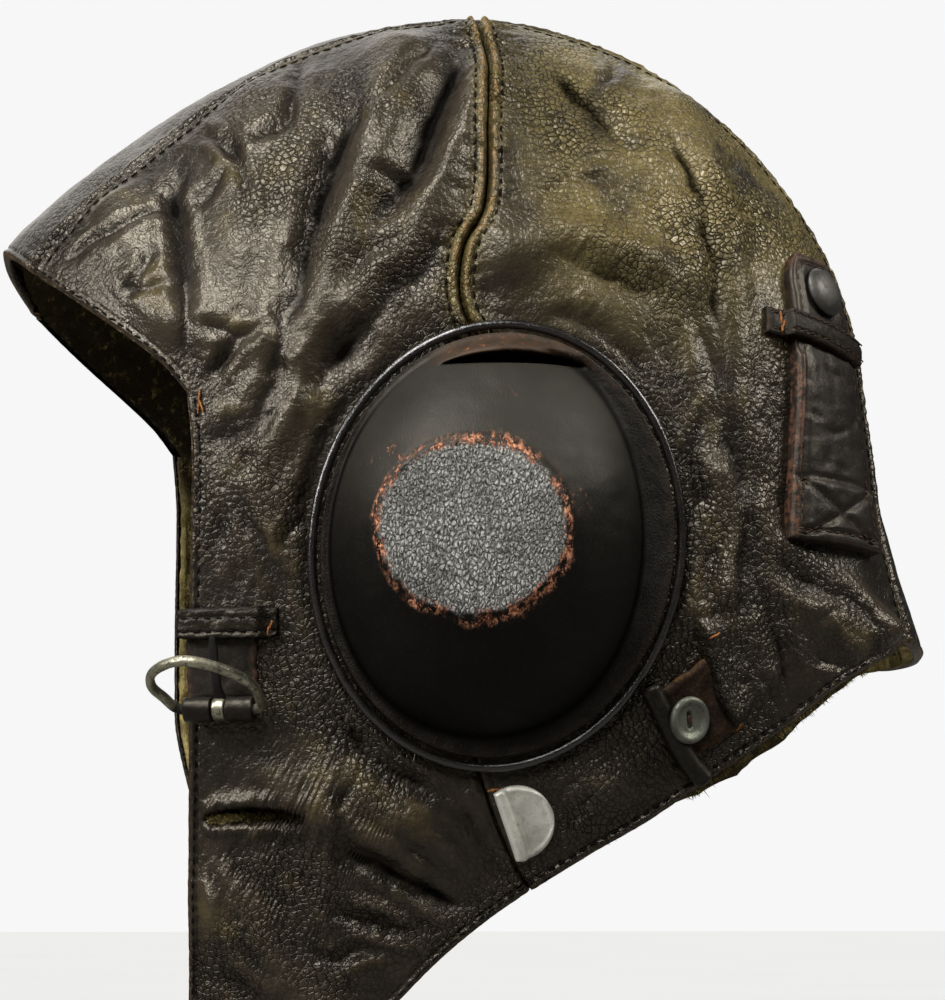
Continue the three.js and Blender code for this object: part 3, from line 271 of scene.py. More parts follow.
def disc_from_half(a, x):
    a, x = np.broadcast_arrays(np.asarray(a, float), np.asarray(x, float))
    ray = stacked(np.cos(np.radians(a)), np.sin(np.radians(a)))
    around = np.ones_like(a)
    for _ in range(6):
        p = skin(around[..., None] * ray)
        share = np.minimum(1, (x / half_width(p[..., 1], p[..., 2])) ** (squareness(a) / 2))
        around = np.arccos(share) / (math.pi / 2)
    return around[..., None] * ray


def lengths(points):
    return np.concatenate([[0], np.cumsum(np.linalg.norm(np.diff(points, axis=0), axis=1))])


def resample(points, shares):
    run = lengths(points)
    at = np.asarray(shares) * run[-1]
    return stacked(*(np.interp(at, run, points[:, k]) for k in range(points.shape[1])))


def catmull(points, per=24):
    """A centripetal curve through points, densely sampled."""
    p = np.asarray(points, float)
    p = np.vstack([2 * p[0] - p[1], p, 2 * p[-1] - p[-2]])
    out = []
    for i in range(1, len(p) - 2):
        d = [max(np.linalg.norm(p[i + k] - p[i + k - 1]) ** 0.5, 1e-4) for k in (0, 1, 2)]
        m1 = ((p[i] - p[i - 1]) / d[0] - (p[i + 1] - p[i - 1]) / (d[0] + d[1])
              + (p[i + 1] - p[i]) / d[1]) * d[1]
        m2 = ((p[i + 1] - p[i]) / d[1] - (p[i + 2] - p[i]) / (d[1] + d[2])
              + (p[i + 2] - p[i + 1]) / d[2]) * d[1]
        t = (np.arange(per) / per)[:, None]
        out.append((2 * t**3 - 3 * t**2 + 1) * p[i] + (t**3 - 2 * t**2 + t) * m1
                   + (-2 * t**3 + 3 * t**2) * p[i + 1] + (t**3 - t**2) * m2)
    return np.vstack(out + [p[-2:-1]])


def on_disc(rows):
    rows = np.asarray(rows, float)
    return disc_from_side(rows[:, 0], rows[:, 1])


def side_line(rows):
    """A dense smooth curve on the skin through rows seen from the side, as 3-D points."""
    return catmull(skin(on_disc(rows)))


def to_disc(points):
    return disc_from_side(points[:, 1], points[:, 2])


def graded(count, start, end, length, fine=5.0, gain=2.2):
    """Shares from 0 to 1, closer together at a start or end that is True."""
    x = np.linspace(0, 1, 2001)
    density = 1 + gain * (start * np.exp(-x * length / fine) + end * np.exp(-(1 - x) * length / fine))
    total = np.concatenate([[0], np.cumsum((density[1:] + density[:-1]) / 2)])
    return np.interp(np.linspace(0, total[-1], count + 1), total, x)


def dome_oval(turn, share):
    t, lean = np.radians(turn), -math.radians(DOME_LEAN)
    c, s = math.cos(lean), math.sin(lean)
    across, tall = DOME_ACROSS * share * np.cos(t), DOME_TALL * share * np.sin(t)
    return EAR_Y + across * c - tall * s, EAR_Z + across * s + tall * c


def dome_share(y, z):
    lean = math.radians(DOME_LEAN)
    across = (y - EAR_Y) * math.cos(lean) - (z - EAR_Z) * math.sin(lean)
    tall = (y - EAR_Y) * math.sin(lean) + (z - EAR_Z) * math.cos(lean)
    return np.hypot(across / DOME_ACROSS, tall / DOME_TALL)


def ear_hole(turn):
    return disc_from_side(*dome_oval(turn, EAR_HOLE))


def ear_row(start, end, rim):
    first = math.degrees(math.atan2(rim[0, 1], rim[0, 0]))
    swept = (np.degrees(np.arctan2(rim[:, 1], rim[:, 0])) - first + 1) % 360 - 1
    run = lengths(rim)
    return ear_hole(start + (end - start) * (0.5 * swept / swept[-1] + 0.5 * run / run[-1]))


def shares_along(points):
    run = lengths(points)
    return run / run[-1]


def patch(ear, rim, first, last):
    s0, s1 = shares_along(first)[:, None], shares_along(last)[:, None]
    straight0 = ear[0] + (rim[0] - ear[0]) * s0
    straight1 = ear[-1] + (rim[-1] - ear[-1]) * s1
    t = shares_along(rim)[None, :, None]
    s = s0[:, None] + (s1 - s0)[:, None] * t
    base = ear[None] + (rim - ear)[None] * s
    return base + (1 - t) * (first - straight0)[:, None] + t * (last - straight1)[:, None]


def seam_border(line, sideways, ear, rim, shares):
    bends = disc_from_side([y + sideways for y, _ in line], [z for _, z in line])
    inner = resample(catmull(np.vstack([ear, bends, rim])), shares)
    inner[0], inner[-1] = ear, rim
    return inner


def brow_border(line, corner, shares):
    up = to_disc(side_line(line[::-1]))
    ear = ear_hole(TEMPLE_TURN)
    out = []
    for s in shares:
        if s <= TEMPLE_SHARE + 1e-9:
            out.append(ear + (up[0] - ear) * (s / TEMPLE_SHARE))
        else:
            out.append(resample(up, [(s - TEMPLE_SHARE) / (1 - TEMPLE_SHARE)])[0])
    out[-1] = corner
    return np.array(out)


def temple_border(brow, shares):
    k = int(np.argmin(np.abs(shares - TEMPLE_SHARE)))
    return brow[np.minimum(np.arange(len(shares)), k)]


# Noise that is the same on every run

def make_table(seed):
    rng = np.random.RandomState(seed)
    g = rng.normal(size=(256, 3))
    return rng.permutation(256), g / np.linalg.norm(g, axis=1, keepdims=True)


TABLES = {}


def perlin(p, seed=1):
    if seed not in TABLES:
        TABLES[seed] = make_table(seed)
    perm, grads = TABLES[seed]
    base = np.floor(p)
    f = p - base
    i = base.astype(np.int64)
    u = f**3 * (f * (f * 6 - 15) + 10)
    total = 0
    for dx in (0, 1):
        for dy in (0, 1):
            for dz in (0, 1):
                h = perm[(i[..., 0] + dx) & 255]
                h = perm[(h + i[..., 1] + dy) & 255]
                h = perm[(h + i[..., 2] + dz) & 255]
                g = grads[h]
                d = (g[..., 0] * (f[..., 0] - dx) + g[..., 1] * (f[..., 1] - dy)
                     + g[..., 2] * (f[..., 2] - dz))
                w = (np.where(dx, u[..., 0], 1 - u[..., 0]) * np.where(dy, u[..., 1], 1 - u[..., 1])
                     * np.where(dz, u[..., 2], 1 - u[..., 2]))
                total = total + w * d
    return total * 1.6


def fbm(p, seed, octaves=3, gain=0.5):
    return sum(gain**k * perlin(p * 2.03**k + 17.3 * k, seed + k) for k in range(octaves))


def ridged(p, seed, octaves=2):
    return sum(0.5**k * (1 - 2.2 * np.abs(perlin(p * 2.1**k + 9.1 * k, seed + k)))
               for k in range(octaves)) / 1.5


# Relief of the leather over the skin

def line_distance(points, y, z):
    """Distance in the side view to a polyline, and how far along it the nearest point lies, 0 to 1."""
    points = np.asarray(points, float)
    run = lengths(points)
    best, along = np.full(y.shape, 1e9), np.zeros(y.shape)
    for a, b, r0, r1 in zip(points[:-1], points[1:], run[:-1], run[1:]):
        d = b - a
        t = np.clip(((y - a[0]) * d[0] + (z - a[1]) * d[1]) / max(d @ d, 1e-9), 0, 1)
        away = np.hypot(y - a[0] - t * d[0], z - a[1] - t * d[1])
        near = away < best
        best = np.where(near, away, best)
        along = np.where(near, (r0 + t * (r1 - r0)) / run[-1], along)
    return best, along


def fold_height(y, z):
    total = np.zeros(y.shape)
    t = np.linspace(0, 1, 13)[:, None]
    for start, bend, end, wide, high in FOLDS:
        line = (1 - t) ** 2 * np.array(start) + 2 * t * (1 - t) * np.array(bend) + t**2 * np.array(end)
        away, _ = line_distance(line, y, z)
        total += high * np.exp(-((away / wide) ** 2))
    return total


def off_parts(y, z):
    keep = np.ones(y.shape)
    for fy, fz, wide, tall in FLAT_SPOTS:
        keep *= smooth(np.hypot((y - fy) / wide, (z - fz) / tall) - 0.6)
    return keep


# Fields of fine parallel wrinkles: middle (y, z), radius, direction in degrees from +Y towards +Z,
# length and width of one wrinkle, height
WRINKLES = [
    (-60, -35, 24, 62, 16, 3.2, 0.45),
    (-100, -62, 18, 35, 12, 3.0, 0.35),
    (-38, -45, 22, 55, 14, 3.0, 0.55),
    (-66, -80, 20, 10, 12, 3.0, 0.40),
    (-62, -118, 20, 75, 14, 2.8, 0.60),
    (-52, -95, 16, 60, 14, 2.6, 0.50),
    (-60, -160, 22, -70, 12, 3.0, 0.50),
    (-45, -190, 20, -45, 16, 2.8, 0.60),
    (-60, -207, 15, 62, 7, 2.0, 0.75),
    (-50, -225, 26, -35, 18, 3.2, 0.60),
    (-60, -262, 24, -25, 16, 3.4, 0.55),
    (-25, -215, 20, -30, 14, 3.0, 0.60),
    (5, -205, 14, 60, 10, 2.2, 0.40),
    (25, -60, 26, 20, 12, 3.4, 0.50),
    (28, -30, 22, -30, 12, 3.0, 0.45),
    (55, -60, 20, -65, 14, 3.0, 0.45),
    (50, -105, 20, -80, 14, 2.8, 0.50),
    (75, -60, 20, -50, 12, 3.2, 0.35),
    (62, -150, 18, -60, 12, 2.8, 0.50),
    (45, -170, 16, 70, 10, 2.4, 0.50),
    (80, -160, 16, -40, 12, 2.6, 0.45),
    (-20, -70, 16, 25, 12, 2.8, 0.50),
]


def wrinkle_height(p, seed):
    y, z = p[..., 1], p[..., 2]
    total = np.zeros(y.shape)
    for k, (my, mz, radius, way, long, short, high) in enumerate(WRINKLES):
        w = np.exp(-(((y - my) ** 2 + (z - mz) ** 2) / radius**2))
        c, s = math.cos(math.radians(way)), math.sin(math.radians(way))
        a = (y * c + z * s) / long
        b = (-y * s + z * c) / short
        q = stacked(a, b + 0.75 * perlin(stacked(a * 2.1, b * 0.5, k), seed + 3), k * 7.7)
        broken = 0.35 + 0.65 * smooth(0.5 + 1.4 * perlin(p / 11 + k, seed + 8))
        total += w * high * broken * ridged(q, seed + 5, 2)
    return total


def crease_height(p, seed):
    y = p[..., 1] + 1.3 * perlin(p / 9, seed) + 0.5 * perlin(p / 3.5, seed + 1)
    z = p[..., 2] + 1.3 * perlin(p / 9 + 5.5, seed) + 0.5 * perlin(p / 3.5 + 5.5, seed + 1)
    total = np.zeros(y.shape)
    for wide, deep, line in CREASES:
        smooth_line = resample(catmull(line, 6), np.linspace(0, 1, 3 * len(line)))
        away, along = line_distance(smooth_line, y, z)
        ends = smooth(np.minimum(along, 1 - along) / 0.3)
        t = away / wide
        high = DEEPEST_CREASE * math.tanh(deep / DEEPEST_CREASE)
        total += high * ends * (-1.12 * np.exp(-1.15 * np.sqrt(t**2 + 0.015))
                                + 0.46 * np.exp(-((t - 2.1) ** 2) / 1.1))
    return total


def nearest(points, line):
    """Distance from each point to a dense line."""
    tree = kdtree.KDTree(len(line))
    for i, q in enumerate(line):
        tree.insert(q, i)
    tree.balance()
    return np.array([tree.find(q)[2] for q in points])


def dense(line, step=0.5):
    return resample(line, np.linspace(0, 1, max(2, int(lengths(line)[-1] / step))))


def bell(d, middle, wide):
    return np.exp(-(((d - middle) / wide) ** 2))


def relief(p, seed, folds=1.0):
    """Height of the leather and how deep in a valley each point lies."""
    y, z = p[..., 1], p[..., 2]
    share = dome_share(y, z)
    off_dome = smooth((share - 1.02) / 0.16)
    fine = smooth((share - 1.02) / 0.1)
    parts = off_parts(y, z)
    broad = fold_height(y, z) * off_dome * parts
    detail = CREASE_GAIN * crease_height(p, seed) * (0.25 + 0.75 * parts)
    detail = detail + WRINKLE_GAIN * wrinkle_height(p, seed)
    detail = detail + 0.5 * fbm(p / 16, seed + 20, 2) + 0.10 * ridged(p / 5.5, seed + 30, 2)
    # shallow wrinkles run round the dome, just outside its welt
    ring = bell(share, 1.13, 0.05)
    detail = detail + ring * 0.35 * ridged(stacked(share * 26, angle_of(y, z) / 26, 0), seed + 40, 1)
    total = FOLD_GAIN * folds * broad + detail * fine
    return np.maximum(total, LOWEST + 0.25 * np.minimum(0, total - LOWEST)), detail * fine


# Meshes

def quads(rows, columns, first=0, flip=False):
    r, c = np.meshgrid(np.arange(rows - 1), np.arange(columns - 1), indexing="ij")
    a = first + r * columns + c
    q = stacked(a, a + columns, a + columns + 1, a + 1).reshape(-1, 4)
    return q[:, ::-1] if flip else q


def make_mesh(name, points, faces, attrs=None, weld=0.0):
    me = bpy.data.meshes.new(name)
    points = np.asarray(points, float).reshape(-1, 3)
    n = len(faces)
    me.vertices.add(len(points))
    me.vertices.foreach_set("co", (points * MM).ravel())
    me.loops.add(n * 4)
    me.loops.foreach_set("vertex_index", faces.astype(np.int32).ravel())
    me.polygons.add(n)
    me.polygons.foreach_set("loop_start", np.arange(0, n * 4, 4, dtype=np.int32))
    me.update(calc_edges=True)
    for key, values in (attrs or {}).items():
        layer = me.attributes.new(key, "FLOAT", "POINT")
        layer.data.foreach_set("value", np.asarray(values, float).ravel())
    if weld:
        bm = bmesh.new()
        bm.from_mesh(me)
        bmesh.ops.remove_doubles(bm, verts=bm.verts, dist=weld * MM)
        bmesh.ops.dissolve_degenerate(bm, edges=bm.edges, dist=1e-7)
        bm.to_mesh(me)
        bm.free()
    me.validate()
    me.polygons.foreach_set("use_smooth", np.ones(len(me.polygons), bool))
    return me


def add(name, me, material, node=None, body="helmet"):
    ob = bpy.data.objects.new(name, me)
    bpy.context.scene.collection.objects.link(ob)
    me.materials.append(material)
    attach(ob, body)
    if node:
        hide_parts(node)
    return ob


def mirrored(points):
    return points * np.array([-1.0, 1, 1])


# Materials

class Nodes:
    """Short names for making a material's nodes."""

    def __init__(self, name):
        self.material = bpy.data.materials.new(name)
        self.material.use_nodes = True
        self.tree = self.material.node_tree
        self.tree.nodes.clear()

    def add(self, kind, inputs=None, **settings):
        node = self.tree.nodes.new(kind)
        for key, value in settings.items():
            setattr(node, key, value)
        for key, value in (inputs or {}).items():
            self.put(node.inputs[key], value)
        return node

    def put(self, socket, value):
        if isinstance(value, bpy.types.NodeSocket):
            self.tree.links.new(value, socket)
        else:
            socket.default_value = value

    def maths(self, operation, a, b, clamp=False):
        return self.add("ShaderNodeMath", {0: a, 1: b}, operation=operation, use_clamp=clamp).outputs[0]

    def times(self, a, b, clamp=False):
        return self.maths("MULTIPLY", a, b, clamp)

    def plus(self, a, b, clamp=False):
        return self.maths("ADD", a, b, clamp)

    def minus(self, a, b, clamp=False):
        return self.maths("SUBTRACT", a, b, clamp)

    def greater(self, a, b):
        return self.maths("MAXIMUM", a, b)

    def vector(self, operation, a, b=(0, 0, 0)):
        return self.add("ShaderNodeVectorMath", {0: a, 1: b}, operation=operation).outputs[0]

    def span(self, value, low, high, to_low=0.0, to_high=1.0):
        ends = {"From Min": low, "From Max": high, "To Min": to_low, "To Max": to_high}
        node = self.add("ShaderNodeMapRange", {"Value": value, **ends}, interpolation_type="SMOOTHSTEP")
        return node.outputs[0]

    def mix(self, share, a, b, blend="MIX"):
        node = self.add("ShaderNodeMix", data_type="RGBA", blend_type=blend)
        self.put(node.inputs[0], share)
        self.put(node.inputs[6], a)
        self.put(node.inputs[7], b)
        return node.outputs[2]

    def noise(self, where, scale, detail=3.0, rough=0.5, color=False):
        given = {"Vector": where, "Scale": scale, "Detail": detail, "Roughness": rough}
        node = self.add("ShaderNodeTexNoise", given)
        return node.outputs[1 if color else 0]

    def cells(self, where, scale, feature="DISTANCE_TO_EDGE"):
        node = self.add("ShaderNodeTexVoronoi", {"Vector": where, "Scale": scale}, feature=feature)
        return node.outputs[0]

    def value_of(self, name):
        return self.add("ShaderNodeAttribute", attribute_name=name).outputs["Fac"]

    def place(self, stretch=(1, 1, 1), warp=0.0, warp_scale=0.3):
        """Object coordinates in mm, stretched and gently warped."""
        co = self.add("ShaderNodeTexCoord").outputs["Object"]
        co = self.vector("MULTIPLY", co, tuple(1000.0 * s for s in stretch))
        if warp:
            pushed = self.vector("SUBTRACT", self.noise(co, warp_scale, 2.0, color=True), (0.5, 0.5, 0.5))
            co = self.vector("ADD", co, self.vector("MULTIPLY", pushed, (warp, warp, warp)))
        return co

    def finish(self, color, rough, height=None, distance=0.3, metal=0.0, **sockets):
        basic = {"Base Color": color, "Roughness": rough, "Metallic": metal}
        shader = self.add("ShaderNodeBsdfPrincipled", basic)
        for key, value in sockets.items():
            self.put(shader.inputs[key.replace("_", " ")], value)
        if height is not None:
            given = {"Height": height, "Distance": distance * MM, "Strength": 1.0}
            bump = self.add("ShaderNodeBump", given)
            self.put(shader.inputs["Normal"], bump.outputs[0])
        out = self.add("ShaderNodeOutputMaterial")
        self.tree.links.new(shader.outputs[0], out.inputs[0])
        return self.material


def rgb(*values):
    return (*values, 1.0)


def leather(name, dark, mid, pale, cell=1.5, crack=1.0, rough=0.3, gold=True,
            wear_color=rgb(0.085, 0.040, 0.017), shine=0.6):
    """Grained leather: plump cells with dark cracks between them, rubbed lighter on the high parts."""
    n = Nodes(name)
    co = n.place(warp=1.6, warp_scale=0.3)
    region = n.span(n.noise(co, 0.032, 2.0), 0.36, 0.64)
    coarse = n.cells(co, 1 / cell)
    plump = n.cells(co, 1 / cell, "SMOOTH_F1")
    fine = n.cells(co, 2.3 / cell, "F1")
    lump = n.noise(co, 0.17, 5.0, 0.62)
    speck = n.noise(co, 2.6, 3.0, 0.6)
    valley = n.value_of("valley")
    gilt = n.value_of("gilt")
    wear = n.value_of("wear")
    shut = n.span(coarse, 0.0, 0.15)
    amount = n.plus(n.times(region, 0.62), n.times(gilt, 0.30))
    amount = n.times(n.plus(amount, 0.18, True), min(1.0, 0.4 + 0.6 * crack))
    top = n.minus(1.0, n.times(n.minus(1.0, shut), amount))
    body = n.mix(n.span(lump, 0.32, 0.72), dark, mid)
    body = n.mix(n.times(n.span(valley, 0.1, 1.6), 0.55), body, pale)
    if gold:
        rub = n.times(gilt, n.span(n.noise(co, 0.06, 4.0, 0.6), 0.26, 0.62))
        body = n.mix(n.times(rub, 0.95), body, rgb(0.178, 0.138, 0.046))
        olive = n.times(n.span(n.noise(co, 0.06, 3.0, 0.6), 0.54, 0.70), n.span(valley, 0.0, 1.4))
        body = n.mix(n.times(olive, 0.7), body, rgb(0.085, 0.062, 0.022))
    # Painted shade: the colour darkens towards black down in the creases, where the valley mask is low
    deep = n.span(valley, -1.8, -0.25, 0.04, 1.0)
    shade = n.times(n.plus(n.times(top, 0.88), 0.12), deep)
    body = n.mix(1.0, body, n.add("ShaderNodeCombineColor", {0: shade, 1: shade, 2: shade}).outputs[0],
                 "MULTIPLY")
    worn = n.times(wear, n.span(n.noise(co, 0.5, 4.0, 0.7), 0.42, 0.62))
    body = n.mix(worn, body, wear_color)
    height = n.times(plump, n.times(n.plus(amount, 0.30), -0.78 * crack))
    height = n.plus(height, n.times(n.times(top, amount), 0.62 * crack))
    height = n.plus(height, n.times(fine, -0.22 * crack))
    height = n.plus(height, n.times(lump, 0.5))
    height = n.plus(height, n.times(speck, 0.08))
    gloss = n.plus(n.times(top, -0.14), rough + 0.14)
    gloss = n.plus(gloss, n.times(n.noise(co, 0.05, 3.0), 0.14))
    gloss = n.plus(gloss, n.span(valley, -1.6, -0.2, 0.30, 0.0))
    sheen = n.times(n.span(valley, -1.6, -0.2, 0.06, shine), n.plus(n.times(top, 0.8), 0.2))
    return n.finish(body, gloss, height, distance=0.42, Specular_IOR_Level=sheen,
                    Specular_Tint=rgb(1.0, 0.91, 0.76))


LEATHER_SKIN = leather("worn_leather", rgb(0.0062, 0.0044, 0.0032), rgb(0.0190, 0.0132, 0.0082),
                       rgb(0.052, 0.039, 0.023), wear_color=rgb(0.22, 0.135, 0.052), rough=0.27,
                       shine=0.66)
STRAP_SKIN = leather("strap_leather", rgb(0.0042, 0.0034, 0.0029), rgb(0.0095, 0.0070, 0.0058),
                     rgb(0.018, 0.013, 0.010), cell=1.7, crack=0.30, rough=0.46, gold=False,
                     wear_color=rgb(0.034, 0.017, 0.011), shine=0.30)
KEEPER_SKIN = leather("keeper_leather", rgb(0.0075, 0.0060, 0.0052), rgb(0.017, 0.0128, 0.0108),
                      rgb(0.028, 0.021, 0.017), cell=2.0, crack=0.22, rough=0.38, gold=False,
                      wear_color=rgb(0.105, 0.047, 0.028), shine=0.42)
ROLL_SKIN = leather("roll_leather", rgb(0.0040, 0.0034, 0.0030), rgb(0.0090, 0.0075, 0.0066),
                    rgb(0.016, 0.013, 0.011), cell=2.4, crack=0.10, rough=0.34, gold=False,
                    wear_color=rgb(0.02, 0.013, 0.009), shine=0.40)
SUEDE_SKIN = leather("tab_leather", rgb(0.014, 0.0070, 0.0040), rgb(0.032, 0.0165, 0.0090),
                     rgb(0.05, 0.028, 0.016), cell=1.2, crack=0.3, rough=0.6, gold=False,
                     wear_color=rgb(0.09, 0.042, 0.014), shine=0.3)


def dome_material():
    """Moulded leather: polished black, a grey pebbled disc with scuffed paint round it."""
    n = Nodes("dome_leather")
    co = n.place(warp=0.6, warp_scale=0.6)
    ring, lift, wear = n.value_of("ring"), n.value_of("upper"), n.value_of("wear")
    shut, flange = n.value_of("shut"), n.value_of("flange")
    ragged = n.minus(n.noise(co, 0.14, 5.0, 0.62), 0.5)
    edge = n.plus(ring, n.times(ragged, 0.22))
    on_disc = n.span(edge, 0.0, -0.06)
    streaks = n.noise(n.place(stretch=(1, 1.5, 0.62), warp=0.3, warp_scale=0.8), 1.5, 3.0, 0.55)
    speck = n.noise(co, 1.9, 4.0, 0.65)
    black = n.mix(n.span(n.noise(co, 0.06, 4.0), 0.35, 0.7), rgb(0.0020, 0.0018, 0.0016),
                  rgb(0.0050, 0.0041, 0.0033))
    # Painted light: the upward-facing slope is coloured a lighter brownish grey
    upper_painted_light = n.times(lift, n.span(n.noise(co, 0.05, 3.0), 0.25, 0.7, 0.55, 1.0))
    black = n.mix(n.times(upper_painted_light, 0.9), black, rgb(0.0200, 0.0172, 0.0132))
    black = n.mix(n.times(n.span(speck, 0.55, 0.70), 0.4), black, rgb(0.034, 0.028, 0.020))
    rub = n.times(wear, n.span(n.noise(co, 0.20, 5.0, 0.7), 0.30, 0.60))
    black = n.mix(n.times(rub, 0.8), black, rgb(0.058, 0.030, 0.015))
    bare = n.times(wear, n.span(n.noise(co, 0.55, 5.0, 0.75), 0.60, 0.68))
    black = n.mix(bare, black, rgb(0.22, 0.085, 0.030))
    crazed = n.cells(n.place(stretch=(1, 1.25, 0.8), warp=0.9, warp_scale=0.6), 0.85)
    open_grain = n.plus(n.times(n.span(crazed, 0.02, 0.26), 0.72), 0.28)
    tone = n.times(n.span(streaks, 0.30, 0.66), open_grain)
    grey = n.mix(tone, rgb(0.020, 0.020, 0.019), rgb(0.56, 0.56, 0.53))
    grey = n.mix(n.span(n.noise(co, 0.06, 2.0, 0.5), 0.60, 0.42, 0.0, 0.40), grey, rgb(0.028, 0.027, 0.025))
    color = n.mix(on_disc, black, grey)
    flake = n.noise(n.place(stretch=(1, 1.0, 0.55), warp=1.4, warp_scale=0.5), 0.60, 6.0, 0.78)
    broken = n.span(n.noise(co, 0.075, 2.0), 0.36, 0.52)
    near = n.times(n.span(edge, -0.09, -0.02), n.span(edge, 0.085, 0.015))
    flakes = n.times(n.times(near, broken), n.span(flake, 0.485, 0.53))
    patch_near = n.times(n.span(ring, 0.55, 0.15), n.span(n.noise(co, 0.07, 2.0), 0.56, 0.64))
    stray = n.times(n.times(patch_near, lift), n.span(flake, 0.57, 0.61))
    flakes = n.greater(flakes, n.times(stray, n.span(ring, 0.0, 0.06)))
    paint = n.mix(n.span(n.noise(co, 1.3, 3.0), 0.38, 0.62), rgb(0.20, 0.062, 0.028), rgb(0.74, 0.34, 0.20))
    color = n.mix(flakes, color, paint)
    # Browner in patches on the upward-facing slope near the disc
    upper_brown_patches = n.times(n.span(edge, 0.26, 0.0), n.span(n.noise(co, 0.4, 4.0, 0.7), 0.45, 0.7))
    color = n.mix(n.times(n.times(upper_brown_patches, lift), 0.4), color, rgb(0.085, 0.060, 0.032))
    # Painted shade: near black in the slot under the lip and in a ring round the dome's foot
    color = n.mix(n.times(shut, 0.95), color, rgb(0.0009, 0.0008, 0.0007))
    pebble = n.plus(n.times(streaks, 1.1), n.times(open_grain, 0.8))
    pebble = n.mix(on_disc, n.times(streaks, 0.20), pebble)
    height = n.plus(pebble, n.times(n.noise(co, 0.35, 4.0, 0.6), 0.12))
    height = n.plus(height, n.times(flakes, -0.3))
    height = n.plus(height, n.times(speck, n.plus(n.times(flange, 0.9), 0.14)))
    gloss = n.plus(n.times(on_disc, -0.16), 0.46)
    gloss = n.plus(gloss, n.times(n.noise(co, 0.4, 5.0, 0.7), 0.18))
    gloss = n.plus(gloss, n.times(flakes, 0.3))
    sheen = n.times(n.minus(1.0, shut), n.plus(n.times(lift, 0.22), 0.16))
    sheen = n.plus(sheen, n.times(on_disc, 0.35))
    return n.finish(color, gloss, height, distance=0.42, Specular_IOR_Level=sheen,
                    Specular_Tint=rgb(1.0, 0.95, 0.88))


def piping_material():
    n = Nodes("piping_leather")
    co = n.place(warp=0.5, warp_scale=0.8)
    worn = n.times(n.value_of("wear"), n.span(n.noise(co, 0.6, 4.0, 0.7), 0.52, 0.66))
    color = n.mix(n.span(n.noise(co, 0.2, 4.0), 0.35, 0.7), rgb(0.0035, 0.0030, 0.0026),
                  rgb(0.011, 0.0085, 0.0068))
    color = n.mix(worn, color, rgb(0.045, 0.022, 0.010))
    grain = n.noise(co, 1.6, 4.0, 0.6)
    gloss = n.plus(n.times(grain, 0.18), 0.14)
    return n.finish(color, gloss, grain, distance=0.10, Specular_IOR_Level=1.0)


def fleece_material():
    n = Nodes("clipped_fleece")
    co = n.place(warp=2.0, warp_scale=0.25)
    clump = n.noise(co, 0.22, 4.0, 0.6)
    hair = n.noise(n.place(stretch=(1.6, 1.6, 0.7)), 1.5, 5.0, 0.7)
    grime_and_shade = n.span(n.noise(co, 0.06, 4.0, 0.6), 0.42, 0.62)
    color = n.mix(n.span(clump, 0.33, 0.62), rgb(0.20, 0.145, 0.036), rgb(0.80, 0.66, 0.26))
    color = n.mix(n.times(grime_and_shade, 0.55), color, rgb(0.12, 0.095, 0.035))
    # Near black: painted shade at the rear neck edge and rim, darker patches up inside the crown
    worn = n.times(n.value_of("grime_and_shade"), n.span(n.noise(co, 0.35, 4.0, 0.7), 0.72, 0.54), True)
    worn = n.greater(worn, n.minus(n.value_of("grime_and_shade"), 1.0, True))
    color = n.mix(worn, color, rgb(0.012, 0.0085, 0.0048))
    color = n.mix(n.span(hair, 0.62, 0.35, 0.0, 0.6), color, rgb(0.03, 0.022, 0.010))
    height = n.plus(n.times(hair, 1.0), n.times(clump, 1.2))
    return n.finish(color, 0.95, height, distance=1.1, Sheen_Weight=0.3, Sheen_Roughness=0.5,
                    Sheen_Tint=rgb(0.75, 0.6, 0.3), Specular_IOR_Level=0.15)


def metal(name, tone, dull, rough=0.3, spots=0.4, metallic=1.0, darkened=False):
    n = Nodes(name)
    co = n.place(warp=0.5, warp_scale=0.8)
    stain = n.times(n.span(n.noise(co, 0.55, 5.0, 0.7), 0.50, 0.64), spots)
    if darkened:
        stain = n.greater(stain, n.value_of("darkened"))
    cloud = n.noise(co, 0.16, 4.0, 0.6)
    color = n.mix(n.span(cloud, 0.3, 0.7), tone, tuple(0.62 * v for v in tone[:3]) + (1.0,))
    color = n.mix(stain, color, dull)
    scratch = n.noise(n.place(stretch=(1, 0.18, 1)), 3.2, 4.0, 0.7)
    gloss = n.plus(n.times(scratch, 0.25), rough - 0.06)
    gloss = n.plus(gloss, n.times(stain, 0.45))
    height = n.plus(n.times(scratch, 0.35), n.times(stain, -0.6))
    bright = n.minus(metallic, n.times(stain, 0.8))
    return n.finish(color, gloss, height, distance=0.05, metal=bright)


DOME_SKIN = dome_material()
PIPING = piping_material()
FLEECE = fleece_material()
SILVERED = metal("silvered_steel", rgb(0.93, 0.92, 0.83), rgb(0.20, 0.16, 0.10), 0.42, 0.35, 0.5)
BUCKLE_STEEL = metal("tarnished_steel", rgb(0.56, 0.54, 0.40), rgb(0.006, 0.0045, 0.0035), 0.34, 0.85,
                     darkened=True)
BLACKENED = metal("blackened_steel", rgb(0.105, 0.100, 0.092), rgb(0.03, 0.026, 0.021), 0.40, 0.4, 0.75)
PEWTER = metal("cast_pewter", rgb(0.22, 0.23, 0.19), rgb(0.06, 0.06, 0.042), 0.50, 0.6)


def thread_material(name, color_a, color_b, shine=0.3):
    n = Nodes(name)
    co = n.place()
    twist = n.noise(co, 2.6, 3.0, 0.6)
    color = n.mix(n.span(twist, 0.35, 0.65), color_a, color_b)
    return n.finish(color, 0.75, twist, distance=0.15, Specular_IOR_Level=shine)


